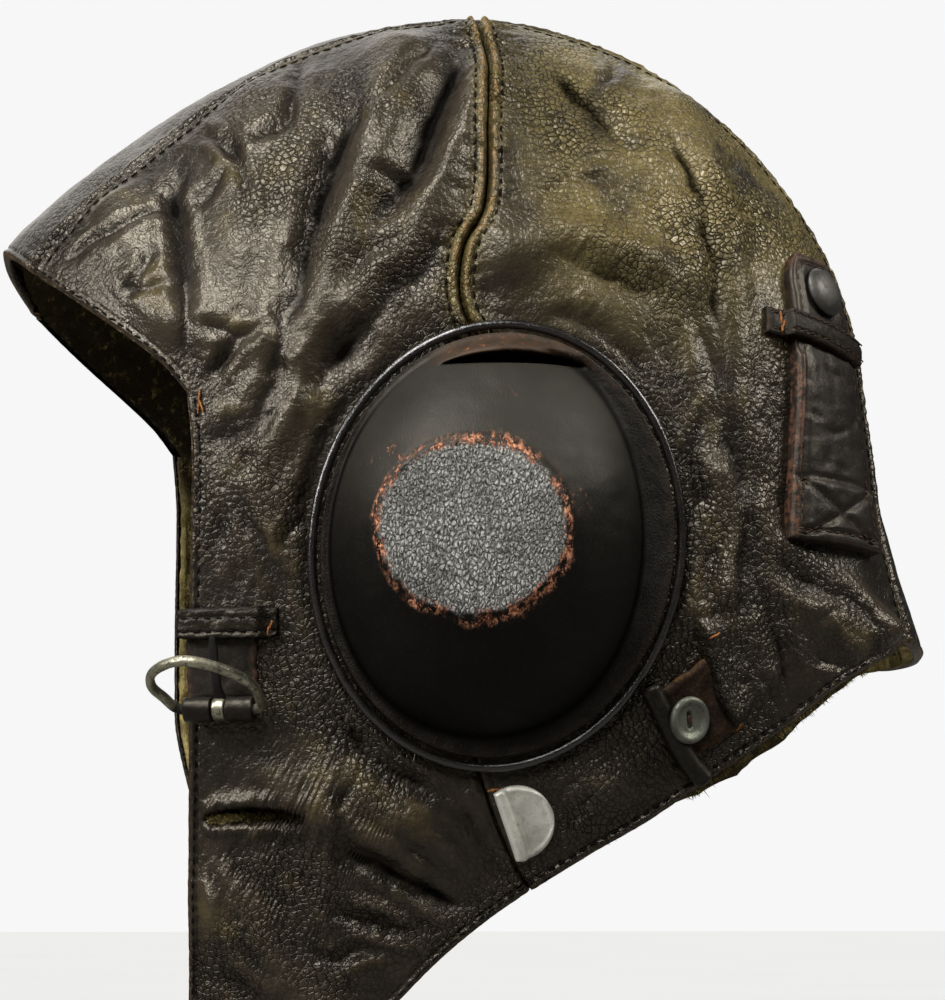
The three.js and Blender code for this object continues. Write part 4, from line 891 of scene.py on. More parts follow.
DARK_THREAD = thread_material("dark_thread", rgb(0.003, 0.0026, 0.0022), rgb(0.010, 0.0075, 0.0058), 0.12)
BROWN_THREAD = thread_material("brown_thread", rgb(0.030, 0.016, 0.008), rgb(0.085, 0.048, 0.022))
RUST_THREAD = thread_material("rust_thread", rgb(0.12, 0.035, 0.010), rgb(0.50, 0.20, 0.055))


# Grids with turned edges

def extend(count, before, after, inset):
    """Grid indices with the rows of a turned edge added before and after, and each one's depth."""
    index, depth = list(range(count)), [0.0] * count
    turn = [0.45 * LEATHER, LEATHER, LEATHER]
    if before:
        index = [inset, 0, 0] + index
        depth = turn[::-1] + depth
    if after:
        index = index + [count - 1, count - 1, count - 1 - inset]
        depth = depth + turn
    return np.array(index), np.array(depth)


def sheet_points(p, height, edges, inset=7):
    """Points of a leather sheet raised by height over the skin, with the wall turned down on some
    of its edges: first row, last row, first column, last column."""
    ri, rd = extend(p.shape[0], edges[0], edges[1], inset)
    ci, cd = extend(p.shape[1], edges[2], edges[3], inset)
    depth = np.maximum(rd[:, None], cd[None, :])
    pick = np.ix_(ri, ci)
    base = p[pick]
    return base + normal(base) * (height[pick] - depth)[..., None], pick, depth


# points of a sheet that lie closer than this become one
WELD = 0.004


class Sheet:
    """Several grids joined to one mesh."""

    def __init__(self):
        self.points, self.faces, self.attrs, self.count = [], [], {}, 0

    def add(self, grid, attrs, flip=False):
        rows, columns = grid.shape[:2]
        self.faces.append(quads(rows, columns, self.count, flip))
        self.points.append(grid.reshape(-1, 3))
        for key, values in attrs.items():
            self.attrs.setdefault(key, []).append(np.asarray(values, float).ravel())
        self.count += rows * columns

    def mesh(self, name, side=1):
        points = np.vstack(self.points)
        faces = np.vstack(self.faces)
        if side < 0:
            points, faces = mirrored(points), faces[:, ::-1]
        attrs = {key: np.concatenate(values) for key, values in self.attrs.items()}
        return make_mesh(name, points, faces, attrs, WELD)


def add_grid(name, grid, attrs, material, node=None, side=1, flip=False, body="helmet"):
    """One grid as a piece of its own."""
    sheet = Sheet()
    sheet.add(grid, attrs, flip)
    return add(name, sheet.mesh(name, side), material, node, body)


def columns_for(length, step):
    return max(8, int(length / step * DETAIL))


# The side panels

def edge_lines():
    """Dense 3-D lines on the skin: seams and free edges of the left side."""
    strip_angles = np.linspace(NAPE_END[1], BROW_END[1], 500)
    strip_line = skin(disc_from_half(strip_angles, strip_half(strip_angles)))
    cross_end = disc_from_half(90, strip_half(90))
    cross = np.vstack([ear_hole(CROSS_TURN), on_disc(CROSS_SEAM), cross_end])
    cross = skin(resample(catmull(cross), np.linspace(0, 1, 400)))
    neck_end = disc_from_side(*NECK_SEAM_END)
    neck = np.vstack([ear_hole(NECK_TURN), on_disc(NECK_SEAM), neck_end])
    neck = skin(resample(catmull(neck), np.linspace(0, 1, 120)))
    brow = side_line(BROW_ROWS)
    face = side_line(FACE_EDGE)
    tip = side_line(CHIN_TIP)
    nape = skin(disc_from_half(NAPE_END[1], 48.2))
    hem = np.vstack([side_line(NECK_EDGE), nape[None]])
    return {"strip": strip_line, "cross": cross, "neck": neck, "free": np.vstack([brow, face, tip, hem])}


LINES = {key: dense(line, 0.45) for key, line in edge_lines().items()}
SLIT_Y, SLIT_Z, SLIT_LONG = -62.5, -203.0, 24.0


def place_on(y, z, turn=0.0):
    origin = skin(disc_from_side(y, z))
    out = normal(origin)
    level = unit(np.cross([0, 0, 1], out))
    c, s = math.cos(math.radians(turn)), math.sin(math.radians(turn))
    along = level * c + np.cross(out, level) * s
    return {"origin": origin, "out": out, "along": along, "across": np.cross(out, along)}


SLIT = place_on(SLIT_Y, SLIT_Z)


def in_place(place, p):
    d = p - place["origin"]
    return d @ place["along"], d @ place["across"]


def slit_height(p):
    """A slot with raised, rolled lips, and the smooth bulge behind it."""
    u, v = in_place(SLIT, p)
    near = smooth((8 - np.abs(p[..., 1] - SLIT_Y) / 2.6))
    window = 1 - smooth((np.abs(u) - SLIT_LONG / 2 + 2) / 4)
    w = v - 1.0 * np.cos(np.clip(u / SLIT_LONG * math.pi, -1.5, 1.5)) + 0.5 + 0.35 * perlin(p / 4.5, 19)
    gap = 1.5 * np.sqrt(np.clip(1 - (u / (SLIT_LONG / 2 + 1)) ** 2, 0, 1))
    slot = -4.4 * smooth((gap + 0.5 - np.abs(w)) / 0.9)
    crimp = 1 + 0.55 * perlin(stacked(u / 1.3, v / 6, 3), 23)
    lips = crimp * (1.7 * bell(w, gap + 1.9, 1.5) + 1.5 * bell(w, -gap - 1.8, 1.3))
    bulge = 2.6 * np.exp(-(((u - 21) / 8) ** 2) - ((v + 1) / 10) ** 2)
    return (slot + lips) * window * near + bulge * near


# A flap of the leather lies over the neck tab's end: its edge runs through these points, (y, z)
MOUTH = np.array([(42.0, -155.0), (42.8, -158.7), (44.3, -164.2), (45.9, -168.9), (47.0, -173.7),
                  (49.4, -177.9), (52.2, -181.0), (54.0, -182.6)])
NECK_PLACE = place_on(36.9, -183.2, 33)
TAB_END = 16.5


def mouth_height(p):
    y, z = p[..., 1], p[..., 2]
    away, along = line_distance(catmull(MOUTH, 8), y, z)
    edge_y = np.interp(z, MOUTH[::-1, 1], MOUTH[::-1, 0])
    inside = np.where(y > edge_y, away, -away)
    ends = smooth(np.minimum(along, 1 - along) / 0.16)
    rise = np.sqrt(np.clip(1 - (1 - np.clip((inside + 0.3) / 2.8, 0, 1)) ** 2, 0, 1))
    return 5.0 * rise * np.exp(-np.maximum(inside - 1, 0) / 6.5) * ends


# seam, depth of its groove, height of its lip, distance of its stitches
SEAM_SHAPES = (("cross", 1.5, 0.8, 3.1), ("strip", 0.9, 0.22, 3.0), ("neck", 0.6, 0.2, 2.6))


def panel_height(p, seed, side):
    """Height over the skin, and the masks that the leather material reads."""
    flat = p.reshape(-1, 3)
    d = {key: nearest(flat, line).reshape(p.shape[:-1]) for key, line in LINES.items()}
    body, detail = relief(p, seed)
    y, z = p[..., 1], p[..., 2]
    calm = smooth((np.minimum(d["free"], d["strip"]) - 1.0) / 7)
    height = body * (0.30 + 0.70 * calm)
    # puckers across the seams
    q = stacked(z / 3.1, d["cross"] / 13, seed)
    pull = bell(d["cross"], 0, 8.5) * (0.25 + 0.75 * smooth(d["cross"] / 1.5))
    height += 1.6 * pull * ridged(q, seed + 50, 2)
    a = angle_of(y, z) * 2.3
    q = stacked(a / 3.4, d["strip"] / 9, seed)
    height += 0.30 * bell(d["strip"], 0, 6.0) * ridged(q, seed + 51, 2)
    q = stacked(z / 2.6, y / 2.6, d["free"] / 9)
    height += 0.30 * bell(d["free"], 0, 5.0) * ridged(q, seed + 52, 1)
    for key, deep, lip, row in SEAM_SHAPES:
        e = d[key]
        rolled = lip * bell(e, 1.7, 0.95) - 0.5 * lip * bell(e, row, 0.5)
        height += -deep * bell(e, 0, 0.7) + rolled
    e = d["free"]
    height += -0.6 * bell(e, 0, 0.6) + 0.25 * bell(e, 1.15, 0.7) - 0.25 * bell(e, 2.2, 0.5)
    if side > 0:
        height += slit_height(p) + mouth_height(p)
    ears = bell(dome_share(y, z), 1.0, 0.06)
    height -= 0.8 * ears
    gilt = 0.95 * smooth((y + 12) / 35) * smooth((z + 100) / 50) + 0.9 * bell(d["cross"], 1.7, 2.3)
    gilt = np.clip(gilt + 0.3 * bell(d["strip"], 1.2, 1.5), 0, 1)
    gilt = gilt - 0.8 * smooth((-70 - y) / 16) * smooth((z + 98) / 16)
    upper_seam = smooth((z + 84) / 30)
    seam_wear = (0.25 + 0.95 * upper_seam) * bell(d["cross"], 1.55, 0.85) ** 1.5
    wear = np.clip(0.22 * bell(e, 0.4, 0.6) + seam_wear, 0, 1)
    return height, {"valley": detail + 0.35 * (body - detail), "gilt": gilt, "wear": wear}


def front_grids(coarse):
    crown_angles = 90.1 + (BROW_END[1] - 90.1) * graded(columns_for(142, 0.75 * coarse), True, True, 142)
    crown = disc_from_half(crown_angles, strip_half(crown_angles) + SEAM_GAP)
    below = int(0.36 * 130 * DETAIL / coarse)
    above = int(0.64 * 130 * DETAIL / coarse)
    low = graded(below, False, False, 60) * TEMPLE_SHARE
    high = TEMPLE_SHARE + (1 - TEMPLE_SHARE) * graded(above, False, True, 60, 6, 3)
    shares = np.concatenate([low, high[1:]])
    brow = brow_border(BROW_ROWS, crown[-1], shares)
    neck_end = (NECK_SEAM_END[0] - SEAM_GAP, NECK_SEAM_END[1])
    neck_rows = [q for q in NECK_EDGE if q[0] < neck_end[0]] + [neck_end]
    face, tip, hem = side_line(FACE_EDGE), side_line(CHIN_TIP), side_line(neck_rows)
    parts = []
    for line, step in ((face, 0.8), (tip, 0.5), (hem, 0.8)):
        n = columns_for(lengths(line)[-1], step * coarse)
        parts.append(resample(line, np.linspace(0, 1, n + 1)))
    cheek = to_disc(np.vstack([parts[0], parts[1][1:], parts[2][1:]]))
    crown_ear = ear_row(CROSS_TURN, TEMPLE_TURN, crown)
    cheek_ear = ear_row(TEMPLE_TURN, NECK_TURN, cheek)
    cross = seam_border(CROSS_SEAM, -SEAM_GAP, crown_ear[0], crown[0], shares)
    neck = seam_border(NECK_SEAM, -SEAM_GAP, cheek_ear[-1], cheek[-1], shares)
    return [(patch(crown_ear, crown, cross, brow), (0, 1, 1, 0)),
            (patch(cheek_ear, cheek, temple_border(brow, shares), neck), (0, 1, 0, 1))]


def rear_grids(coarse):
    angles = NAPE_END[1] + (89.9 - NAPE_END[1]) * graded(columns_for(250, 0.75 * coarse), False, True, 250)
    crown = disc_from_half(angles, strip_half(angles) + SEAM_GAP)
    start = (NECK_SEAM_END[0] + SEAM_GAP, NECK_SEAM_END[1])
    rows = [start] + [q for q in NECK_EDGE if q[0] > NECK_SEAM_END[0] + 1]
    line = catmull(np.vstack([skin(on_disc(rows)), skin(crown[:1])]))
    n = columns_for(lengths(line)[-1], 0.8 * coarse)
    hem = to_disc(resample(line, np.linspace(0, 1, n + 1)))
    rim = np.vstack([hem[:-1], crown])
    ear = ear_row(NECK_TURN - 359, CROSS_TURN - 1, rim)
    shares = graded(int(135 * DETAIL / coarse), False, True, 110, 6, 2.5)
    neck = seam_border(NECK_SEAM, SEAM_GAP, ear[0], rim[0], shares)
    cross = seam_border(CROSS_SEAM, SEAM_GAP, ear[-1], rim[-1], shares)
    return [(patch(ear, rim, neck, cross), (0, 1, 1, 1))]


# The right chin flap hangs this far back. It starts below a height and ahead of the ear.
FLAP_BACK, FLAP_TOP, FLAP_BLEND, FLAP_AHEAD = 6, -172, 36, 40


def swung(points):
    """Points of the right side, still on the left, with the chin flap moved back."""
    front = smooth((EAR_Y - points[..., 1]) / FLAP_AHEAD)
    low = smooth((FLAP_TOP - points[..., 2]) / FLAP_BLEND)
    out = points.copy()
    out[..., 1] += FLAP_BACK * front * low
    return out


def side_panel(part, grids, seed, side):
    name = f"{WORD[side]}_{part}_leather"
    node = f"{WORD[side]}_{part}_panel"
    sheet = Sheet()
    for grid, edges in grids:
        p = skin(grid)
        height, masks = panel_height(p, seed, side)
        points, pick, depth = sheet_points(p, height, edges)
        if side < 0 and part == "front":
            points = swung(points)
        masks = {key: value[pick] for key, value in masks.items()}
        masks["valley"] = np.where(depth > 0, TURNED_VALLEY, masks["valley"])
        sheet.add(points, masks)
    return add(name, sheet.mesh(name, side=side), LEATHER_SKIN, node=node)


for side in (1, -1):
    side_panel("front", front_grids(STEP[side]), PANEL_SEEDS[side][0], side)
    side_panel("rear", rear_grids(STEP[side]), PANEL_SEEDS[side][1], side)


def end_angle(end, x):
    return end[0] + (end[1] - end[0]) * (x / strip_half(end[1])) ** 2


def centre_strip():
    t = graded(int(400 * DETAIL), True, True, STRIP_RUN)[:, None]
    angles = NAPE_END[1] + t * (BROW_END[1] - NAPE_END[1])
    s = (graded(int(80 * DETAIL), True, True, 62) * 2 - 1)[None, :]
    x = np.abs(s) * (strip_half(angles) - SEAM_GAP)
    turn = end_angle(NAPE_END, x) + t * (end_angle(BROW_END, x) - end_angle(NAPE_END, x))
    p = skin(disc_from_half(turn, x))
    body, detail = relief(p, 31, 0.0)
    e = np.abs(np.abs(s) - 1) * strip_half(angles)
    run = t * STRIP_RUN
    end = np.minimum(run, STRIP_RUN - run) + e * 0
    calm = smooth(np.minimum(e, end) / 8)
    height = body * (0.25 + 0.75 * calm)
    q = stacked(run / 3.4, e / 9, 0)
    height += 0.5 * bell(e, 0, 6) * ridged(q, 33, 2)
    height += -1.25 * bell(e, 0, 0.75) + 0.4 * bell(e, 1.9, 1.0)
    height += -0.75 * bell(end, 0, 0.6) + 0.3 * bell(end, 1.15, 0.6) - 0.35 * bell(end, 2.1, 0.45)
    p = p * stacked(np.sign(s) + 0 * t, 1, 1)
    gilt = 0.9 * smooth((p[..., 1] + 5) / 40) * smooth((p[..., 2] + 110) / 60)
    masks = {"valley": detail, "gilt": gilt, "wear": 0.7 * bell(end, 0.4, 0.7)}
    points, pick, depth = sheet_points(p, height, (1, 1, 1, 1))
    masks = {key: value[pick] for key, value in masks.items()}
    masks["valley"] = np.where(depth > 0, TURNED_VALLEY, masks["valley"])
    return add_grid("centre_strip_leather", points, masks, LEATHER_SKIN, "centre_strip")


centre_strip()


# Ear domes and the piped welts round them

# out from the disc's edge to the flange's rim, height over the skin
DOME_PROFILE = np.array([(-0.5, 24.4), (-0.12, 24.2), (0, 23.7), (0.07, 22.9), (0.18, 21.2),
                         (0.3, 19.3), (0.45, 16.6), (0.6, 13.4), (0.72, 10.3), (0.82, 7.0), (0.88, 4.4),
                         (0.92, 2.7), (0.96, 2.1), (1.0, 1.9), (1.1, 1.9)], float)


def dome_high(out):
    return hermite(DOME_PROFILE, np.clip(out, -0.119, 1.02))


def dome_rim(turns, share):
    """The oval of the dome's foot and of its piping, a little smaller than the hole in the skin."""
    y, z = dome_oval(turns, share)
    return y - 0.5, z + 0.8


def dome_slit(y, z):
    """A crescent slot under a lip near the top of the dome: depth of the slot, height of the
    lip and brown wear."""
    u = (y + 1.95) / 17.8
    w = z + 95.6 - 0.3 * u
    arch = 1.45 * np.clip(1 - u**2, 0, 1)
    slot = smooth((arch + 0.30 - np.abs(w - arch)) / 0.65) * smooth(arch / 0.12)
    over = np.clip(1.25 - u**2, 0, 1.25) ** 0.7
    lip = 2.7 * over * bell(w, 2 * arch + 1.9, 1.9)
    wear = np.clip(1.6 - u**2, 0, 1) * smooth((w - 2 * arch + 0.3) / 0.8)
    return slot, lip, wear


def ear_dome(side, seed):
    coarse = STEP[side]
    turns = np.linspace(0, 360, int(270 * DETAIL / coarse) + 1)[None, :]
    inside = np.linspace(-1, -0.08, int(16 * DETAIL / coarse) + 2)
    slope = np.linspace(-0.06, 1.0, int(92 * DETAIL / coarse) + 2)
    out = np.concatenate([inside, slope])[:, None]
    # the disc is a little wider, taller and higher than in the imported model
    wider, taller, higher = 1.08, 1.03, 0.9
    my, mz = EAR_Y - DISC_FORWARD, EAR_Z + DISC_UP + higher
    dy = my + wider * DISC_ACROSS * np.cos(np.radians(turns))
    dz = mz + taller * DISC_TALL * np.sin(np.radians(turns))
    ry, rz = dome_rim(turns, 0.975)
    y = np.where(out < 0, my + (dy - my) * (1 + out), dy + (ry - dy) * out)
    z = np.where(out < 0, mz + (dz - mz) * (1 + out), dz + (rz - dz) * out)
    slot, lip, worn = dome_slit(y, z)
    # the dome's foot stands in from the piping at the back, the front and below
    flange = 0.30 * bell((turns - 8 + 180) % 360 - 180, 0, 48)
    flange = flange + 0.15 * bell(turns, 190, 40) + 0.09 * bell(turns, 275, 40)
    share = out * (1 + flange * smooth((out - 0.3) / 0.5))
    base = skin(disc_from_side(y, z))
    q = stacked(seed, y / 15, z / 15)
    uneven = 0.45 * fbm(q, seed, 3) * smooth((out + 0.1) / 0.3)
    on_flange = smooth((share - 0.95) / 0.06)
    grain = 0.16 * ridged(stacked(y / 2.1, z / 2.1, seed), seed + 6, 2) * on_flange
    q = stacked(turns / 2.6, out * 5, seed)
    rim_wrinkle = 0.20 * ridged(q, seed + 5, 1) * smooth((out - 0.86) / 0.1)
    step = 0.25 * smooth((0.02 - out) / 0.05) - 0.2 * bell(out, 0.03, 0.03)
    x = base[..., 0] + 0.8 + dome_high(share) - 4.2 * slot + lip + uneven + rim_wrinkle + grain + step
    p = stacked(x, y, z)
    skirt = p[-1:] - np.array([3.2, 0, 0])
    p = np.concatenate([p, skirt])
    du = np.gradient(p, axis=0)
    dv = np.gradient(p, axis=1)
    n = unit(np.cross(dv, du))
    # Upward-facing slope, which the dome's material paints lighter as painted light
    upper = smooth((n[..., 2] * np.sign(n[..., 0]) + 0.05) / 0.55)
    tall = np.concatenate([out, out[-1:] + 0.02])
    grid = tall + 0 * turns
    # Painted shade: the slot and a ring round the dome's foot are painted near black
    foot = bell(share, 0.93, 0.035) * smooth(flange / 0.08)
    dark = np.clip(1 - slot - 0.8 * foot, 0, 1)
    wear = np.clip(worn + 0.22 * bell(out, 0.97, 0.03) + 0 * turns, 0, 1) * dark
    masks = {"upper": upper[:-1] * dark, "wear": wear, "shut": 1 - dark, "flange": on_flange + 0 * y}
    masks = {key: np.concatenate([value, value[-1:]]) for key, value in masks.items()}
    word = WORD[side]
    masks["ring"] = grid
    return add_grid(f"{word}_dome_shell", p, masks, DOME_SKIN, f"{word}_ear_dome", side, True)


def tube(points, radius, sides, closed=False, up=None):
    """A grid round a line of points: rows along the line, columns round it."""
    points = np.asarray(points, float)
    if closed:
        run = np.roll(points, -1, 0) - np.roll(points, 1, 0)
    else:
        run = np.gradient(points, axis=0)
    run /= np.linalg.norm(run, axis=1, keepdims=True)
    up = np.array([1.0, 0, 0]) if up is None else np.asarray(up, float)
    side = unit(np.cross(run, up))
    top = np.cross(side, run)
    turn = np.linspace(0, 2 * math.pi, sides + 1)[None, :, None]
    around = np.cos(turn) * side[:, None] + np.sin(turn) * top[:, None]
    grid = points[:, None] + radius[..., None] * around
    return np.concatenate([grid, grid[:1]]) if closed else grid


def ear_welt(side, seed):
    turns = np.linspace(0, 360, int(540 * DETAIL) + 1)[:-1]
    base = skin(disc_from_side(*dome_rim(turns, 1.012)))
    line = base + normal(base) * 1.75
    sides = 14
    a = np.linspace(0, 360, sides + 1)[None, :]
    q = stacked(turns[:, None] * 0.95, a / 110, seed)
    fade = smooth(np.minimum(turns, 360 - turns) / 6)[:, None]
    slow = perlin(stacked(turns / 9, 0, seed), seed + 2)[:, None]
    radius = 1.08 + 0.07 * fade * ridged(q, seed, 2) + 0.08 * fade * slow
    grid = tube(line, radius, sides, True)
    wear = np.clip(0.5 + 0.5 * perlin(stacked(turns / 14, 3, seed), seed + 4), 0, 1)
    wear = wear[:, None] * 0.35 + 0 * a
    wear = np.concatenate([wear, wear[:1]])
    word = WORD[side]
    return add_grid(f"{word}_dome_piping", grid, {"wear": wear}, PIPING, f"{word}_ear_welt",
                    side, True)


for side, seed in ((1, 61), (-1, 71)):
    ear_dome(side, seed)
    ear_welt(side, seed + 3)

# Fleece lining

FLEECE_TOP = LEATHER + 0.75
FLEECE_THICK = 3.4


def toward_ear(rows, out):
    """Side-view rows moved away from the ear by out mm, or towards it where out is below zero."""
    rows = np.asarray(rows, float) - [EAR_Y, EAR_Z]
    d = np.hypot(rows[:, 0], rows[:, 1])[:, None]
    return [tuple(q) for q in rows * (d + out) / d + [EAR_Y, EAR_Z]]


def lining_grids():
    spread, hem_out = 0.3, -0.3
    angles = np.linspace(NAPE_END[0] + spread, BROW_END[0] - spread, columns_for(STRIP_RUN, 2.1) + 1)
    crown = disc_from_half(angles, np.full(angles.shape, 0.02))
    low = np.linspace(0, TEMPLE_SHARE, int(28 * DETAIL) + 1)
    high = TEMPLE_SHARE + (1 - TEMPLE_SHARE) * graded(int(32 * DETAIL), False, True, 60, 8, 2)
    shares = np.concatenate([low, high[1:]])
    brow = brow_border(toward_ear(BROW_EDGE, -0.8), crown[-1], shares)
    parts = []
    for rows, out in ((FACE_EDGE, -0.8), (CHIN_TIP, -0.8), (NECK_EDGE, hem_out)):
        line = side_line(toward_ear(rows, out))
        parts.append(resample(line, np.linspace(0, 1, columns_for(lengths(line)[-1], 1.8) + 1)))
    cheek = to_disc(np.vstack([parts[0], parts[1][1:], parts[2][1:]]))
    nape_x = np.linspace(48, 0, columns_for(50, 2.1) + 1)[:-1]
    nape = disc_from_half(end_angle(NAPE_END, nape_x) + spread, nape_x)
    cheek = np.vstack([cheek, nape, crown[:1]])
    back = ear_hole(NAPE_TURN) + (crown[0] - ear_hole(NAPE_TURN)) * shares[:, None]
    return [
        (patch(ear_row(NAPE_TURN, TEMPLE_TURN, crown), crown, back, brow), False),
        (patch(ear_row(TEMPLE_TURN, NAPE_TURN + 360, cheek), cheek, temple_border(brow, shares), back),
         True),
    ]


def neck_edge_shade(p, seed):
    """Black painted shade on the lining near the rear neck edge, broken by lighter patches."""
    return 1.9 * smooth(0.85 + 1.6 * perlin(p / 6, seed // 10)) * smooth((p[..., 1] - 30) / 12)


def lining(side, seed):
    sheet = Sheet()
    for grid, free_rim in lining_grids():
        p = skin(grid)
        n = normal(p)
        flat = p.reshape(-1, 3)
        d = nearest(flat, LINES["free"]).reshape(p.shape[:-1])
        clump = 0.9 * fbm(p / 3.4 + seed, seed, 3, 0.6) + 0.5 * np.abs(perlin(p / 1.7 + seed, seed + 7))
        depth = FLEECE_TOP + FLEECE_THICK + clump * smooth(d / 3 + 0.35)
        rows = [p - n * depth[..., None]]
        out = unit(p[-1] - p[-2])
        if free_rim:
            wave = (0.5 + 0.9 * np.abs(perlin(p[-1] / 2.2 + seed, seed + 9)))[:, None]
            low_rim = smooth((p[-1][:, 1] - 34) / 14) * smooth((90 - p[-1][:, 1]) / 6)
            wave = wave + (5.2 * low_rim * (0.85 + 0.3 * perlin(p[-1] / 9, seed + 12)))[:, None]
            rows.append((p[-1] - n[-1] * (FLEECE_TOP + 0.72 * FLEECE_THICK) + out * wave)[None])
            rows.append((p[-1] - n[-1] * (FLEECE_TOP + 0.30 * FLEECE_THICK) + out * wave * 0.9)[None])
        rows.append((p[-1] - n[-1] * FLEECE_TOP)[None])
        points = np.concatenate(rows)
        if side < 0:
            points = swung(points)
        # Darker in patches higher up inside the crown
        grime_and_shade = smooth((points[..., 2] + 124) / 20)
        # Painted shade: black near the rear neck edge and over its rolled rim
        if free_rim:
            edge = neck_edge_shade(p, seed) * smooth((20 - d) / 8)
            grime_and_shade[: len(edge)] = np.maximum(grime_and_shade[: len(edge)], edge)
            grime_and_shade[-4:] = np.maximum(grime_and_shade[-4:], 2.0 * low_rim)
        sheet.add(points, {"grime_and_shade": grime_and_shade}, flip=True)
    word = WORD[side]
    name = f"{word}_fleece_lining"
    return add(name, sheet.mesh(name, side), FLEECE, f"{word}_lining")


def fibres(name, roots, ways, rng, long=(0.8, 1.9), thick=0.16, side=1, grime_and_shade=None):
    """Short wool fibres: each is a bent three-sided spike on its root."""
    count = len(roots)
    per = 9
    grime_and_shade = np.repeat(np.zeros(count) if grime_and_shade is None else grime_and_shade, per)
    size = rng.uniform(*long, count)[:, None]
    ways = unit(ways + rng.normal(0, 0.42, (count, 3)))
    bend = rng.normal(0, 0.7, (count, 3))
    a = unit(np.cross(ways, rng.normal(0, 1, (count, 3))))
    b = np.cross(ways, a)
    rings = []
    for t, r in ((0, 1.0), (0.6, 0.7)):
        centre = roots + ways * size * t + bend * (size * t**2 * 0.45)
        for k in range(3):
            turn = 2 * math.pi * k / 3
            rings.append(centre + (a * math.cos(turn) + b * math.sin(turn)) * thick * r)
    tip = roots + ways * size + bend * size * 0.45
    points = np.stack(rings + [tip, tip, tip], 1)
    faces = []
    base = np.arange(count) * per
    for ring in range(2):
        for k in range(3):
            p, q = ring * 3 + k, ring * 3 + (k + 1) % 3
            faces.append(np.stack([base + p, base + q, base + q + 3, base + p + 3], 1))
    points = points.reshape(-1, 3)
    faces = np.vstack(faces)
    if side < 0:
        points, faces = mirrored(points), faces[:, ::-1]
    return add(name, make_mesh(name, points, faces, {"grime_and_shade": grime_and_shade}), FLEECE)


def rim_fibres(side, seed):
    rng = np.random.RandomState(seed)
    face = side_line(toward_ear(FACE_EDGE, -0.8))
    hem = side_line(toward_ear(NECK_EDGE[5:], 0.3))
    roots, ways, grime_and_shade = [], [], []
    tufted = side_line([q for q in toward_ear(NECK_EDGE, 1.6) if q[0] > 40])
    for line, count in ((face, int(1300 * DETAIL)), (hem, int(1500 * DETAIL)),
                        (tufted, int(1000 * DETAIL))):
        at = rng.uniform(0, 1, count)
        if line is tufted:
            at = np.clip((np.floor(at * 9) + 0.5 + rng.normal(0, 0.22, count)) / 9, 0, 1)
        p = resample(line, at)
        run = resample(line, np.minimum(1, at + 0.002)) - resample(line, np.maximum(0, at - 0.002))
        n = normal(p)
        out = unit(np.cross(run, n))
        away = p - [0, EAR_Y, EAR_Z]
        out *= np.sign((out * away).sum(1))[:, None]
        if line is tufted:
            deep = rng.uniform(FLEECE_TOP - 0.3, FLEECE_TOP + 0.7, count)[:, None]
            roots.append(p - n * deep - out)
            ways.append(1.6 * out + 0.7 * n)
            grime_and_shade.append(np.zeros(count))
            continue
        deep = rng.uniform(FLEECE_TOP + 0.4, FLEECE_TOP + FLEECE_THICK, count)[:, None]
        roots.append(p - n * deep - out * 0.6)
        ways.append(0.35 * out - n * rng.uniform(0.3, 1.2, count)[:, None])
        # Fibres near the rear neck edge take the same painted shade as the lining
        grime_and_shade.append(neck_edge_shade(p, seed))
    roots, ways = np.vstack(roots), np.vstack(ways)
    if side < 0:
        roots = swung(roots)
    word = WORD[side]
    return fibres(f"{word}_rim_fibres", roots, ways, rng, side=side, grime_and_shade=np.concatenate(grime_and_shade))


def slit_fibres():
    """Tufts of the lining that show in the cheek slit."""
    rng = np.random.RandomState(77)
    count = int(1000 * DETAIL)
    u = np.concatenate([rng.normal(-8.0, 2.0, count // 2).clip(-11.5),
                        rng.uniform(-12, 9, count - count // 2)])
    v = -0.8 + rng.normal(0, 0.5, count)
    p = drape(SLIT, u, v)
    n = normal(p)
    deep = np.where(np.arange(count) < count // 2, 0.9, 2.6)[:, None]
    return fibres("slit_fibres", p - n * deep, 0.9 * n + 0.3 * SLIT["across"], rng, (0.8, 2.0), 0.2)


for side, seed in ((1, 81), (-1, 91)):
    lining(side, seed)
    rim_fibres(side, seed + 2)


# Pieces sewn on the skin

def drape(place, u, v):
    """The skin points over (u, v) of a place, found by halving along the place's normal."""
    u, v = np.broadcast_arrays(np.asarray(u, float), np.asarray(v, float))
    start = place["origin"] + u[..., None] * place["along"] + v[..., None] * place["across"]
    low, high = np.full(u.shape, -40.0), np.full(u.shape, 15.0)
    for _ in range(26):
        middle = (low + high) / 2
        outside = outsideness(start + middle[..., None] * place["out"]) > 0
        high = np.where(outside, middle, high)
        low = np.where(outside, low, middle)
    return start + low[..., None] * place["out"]


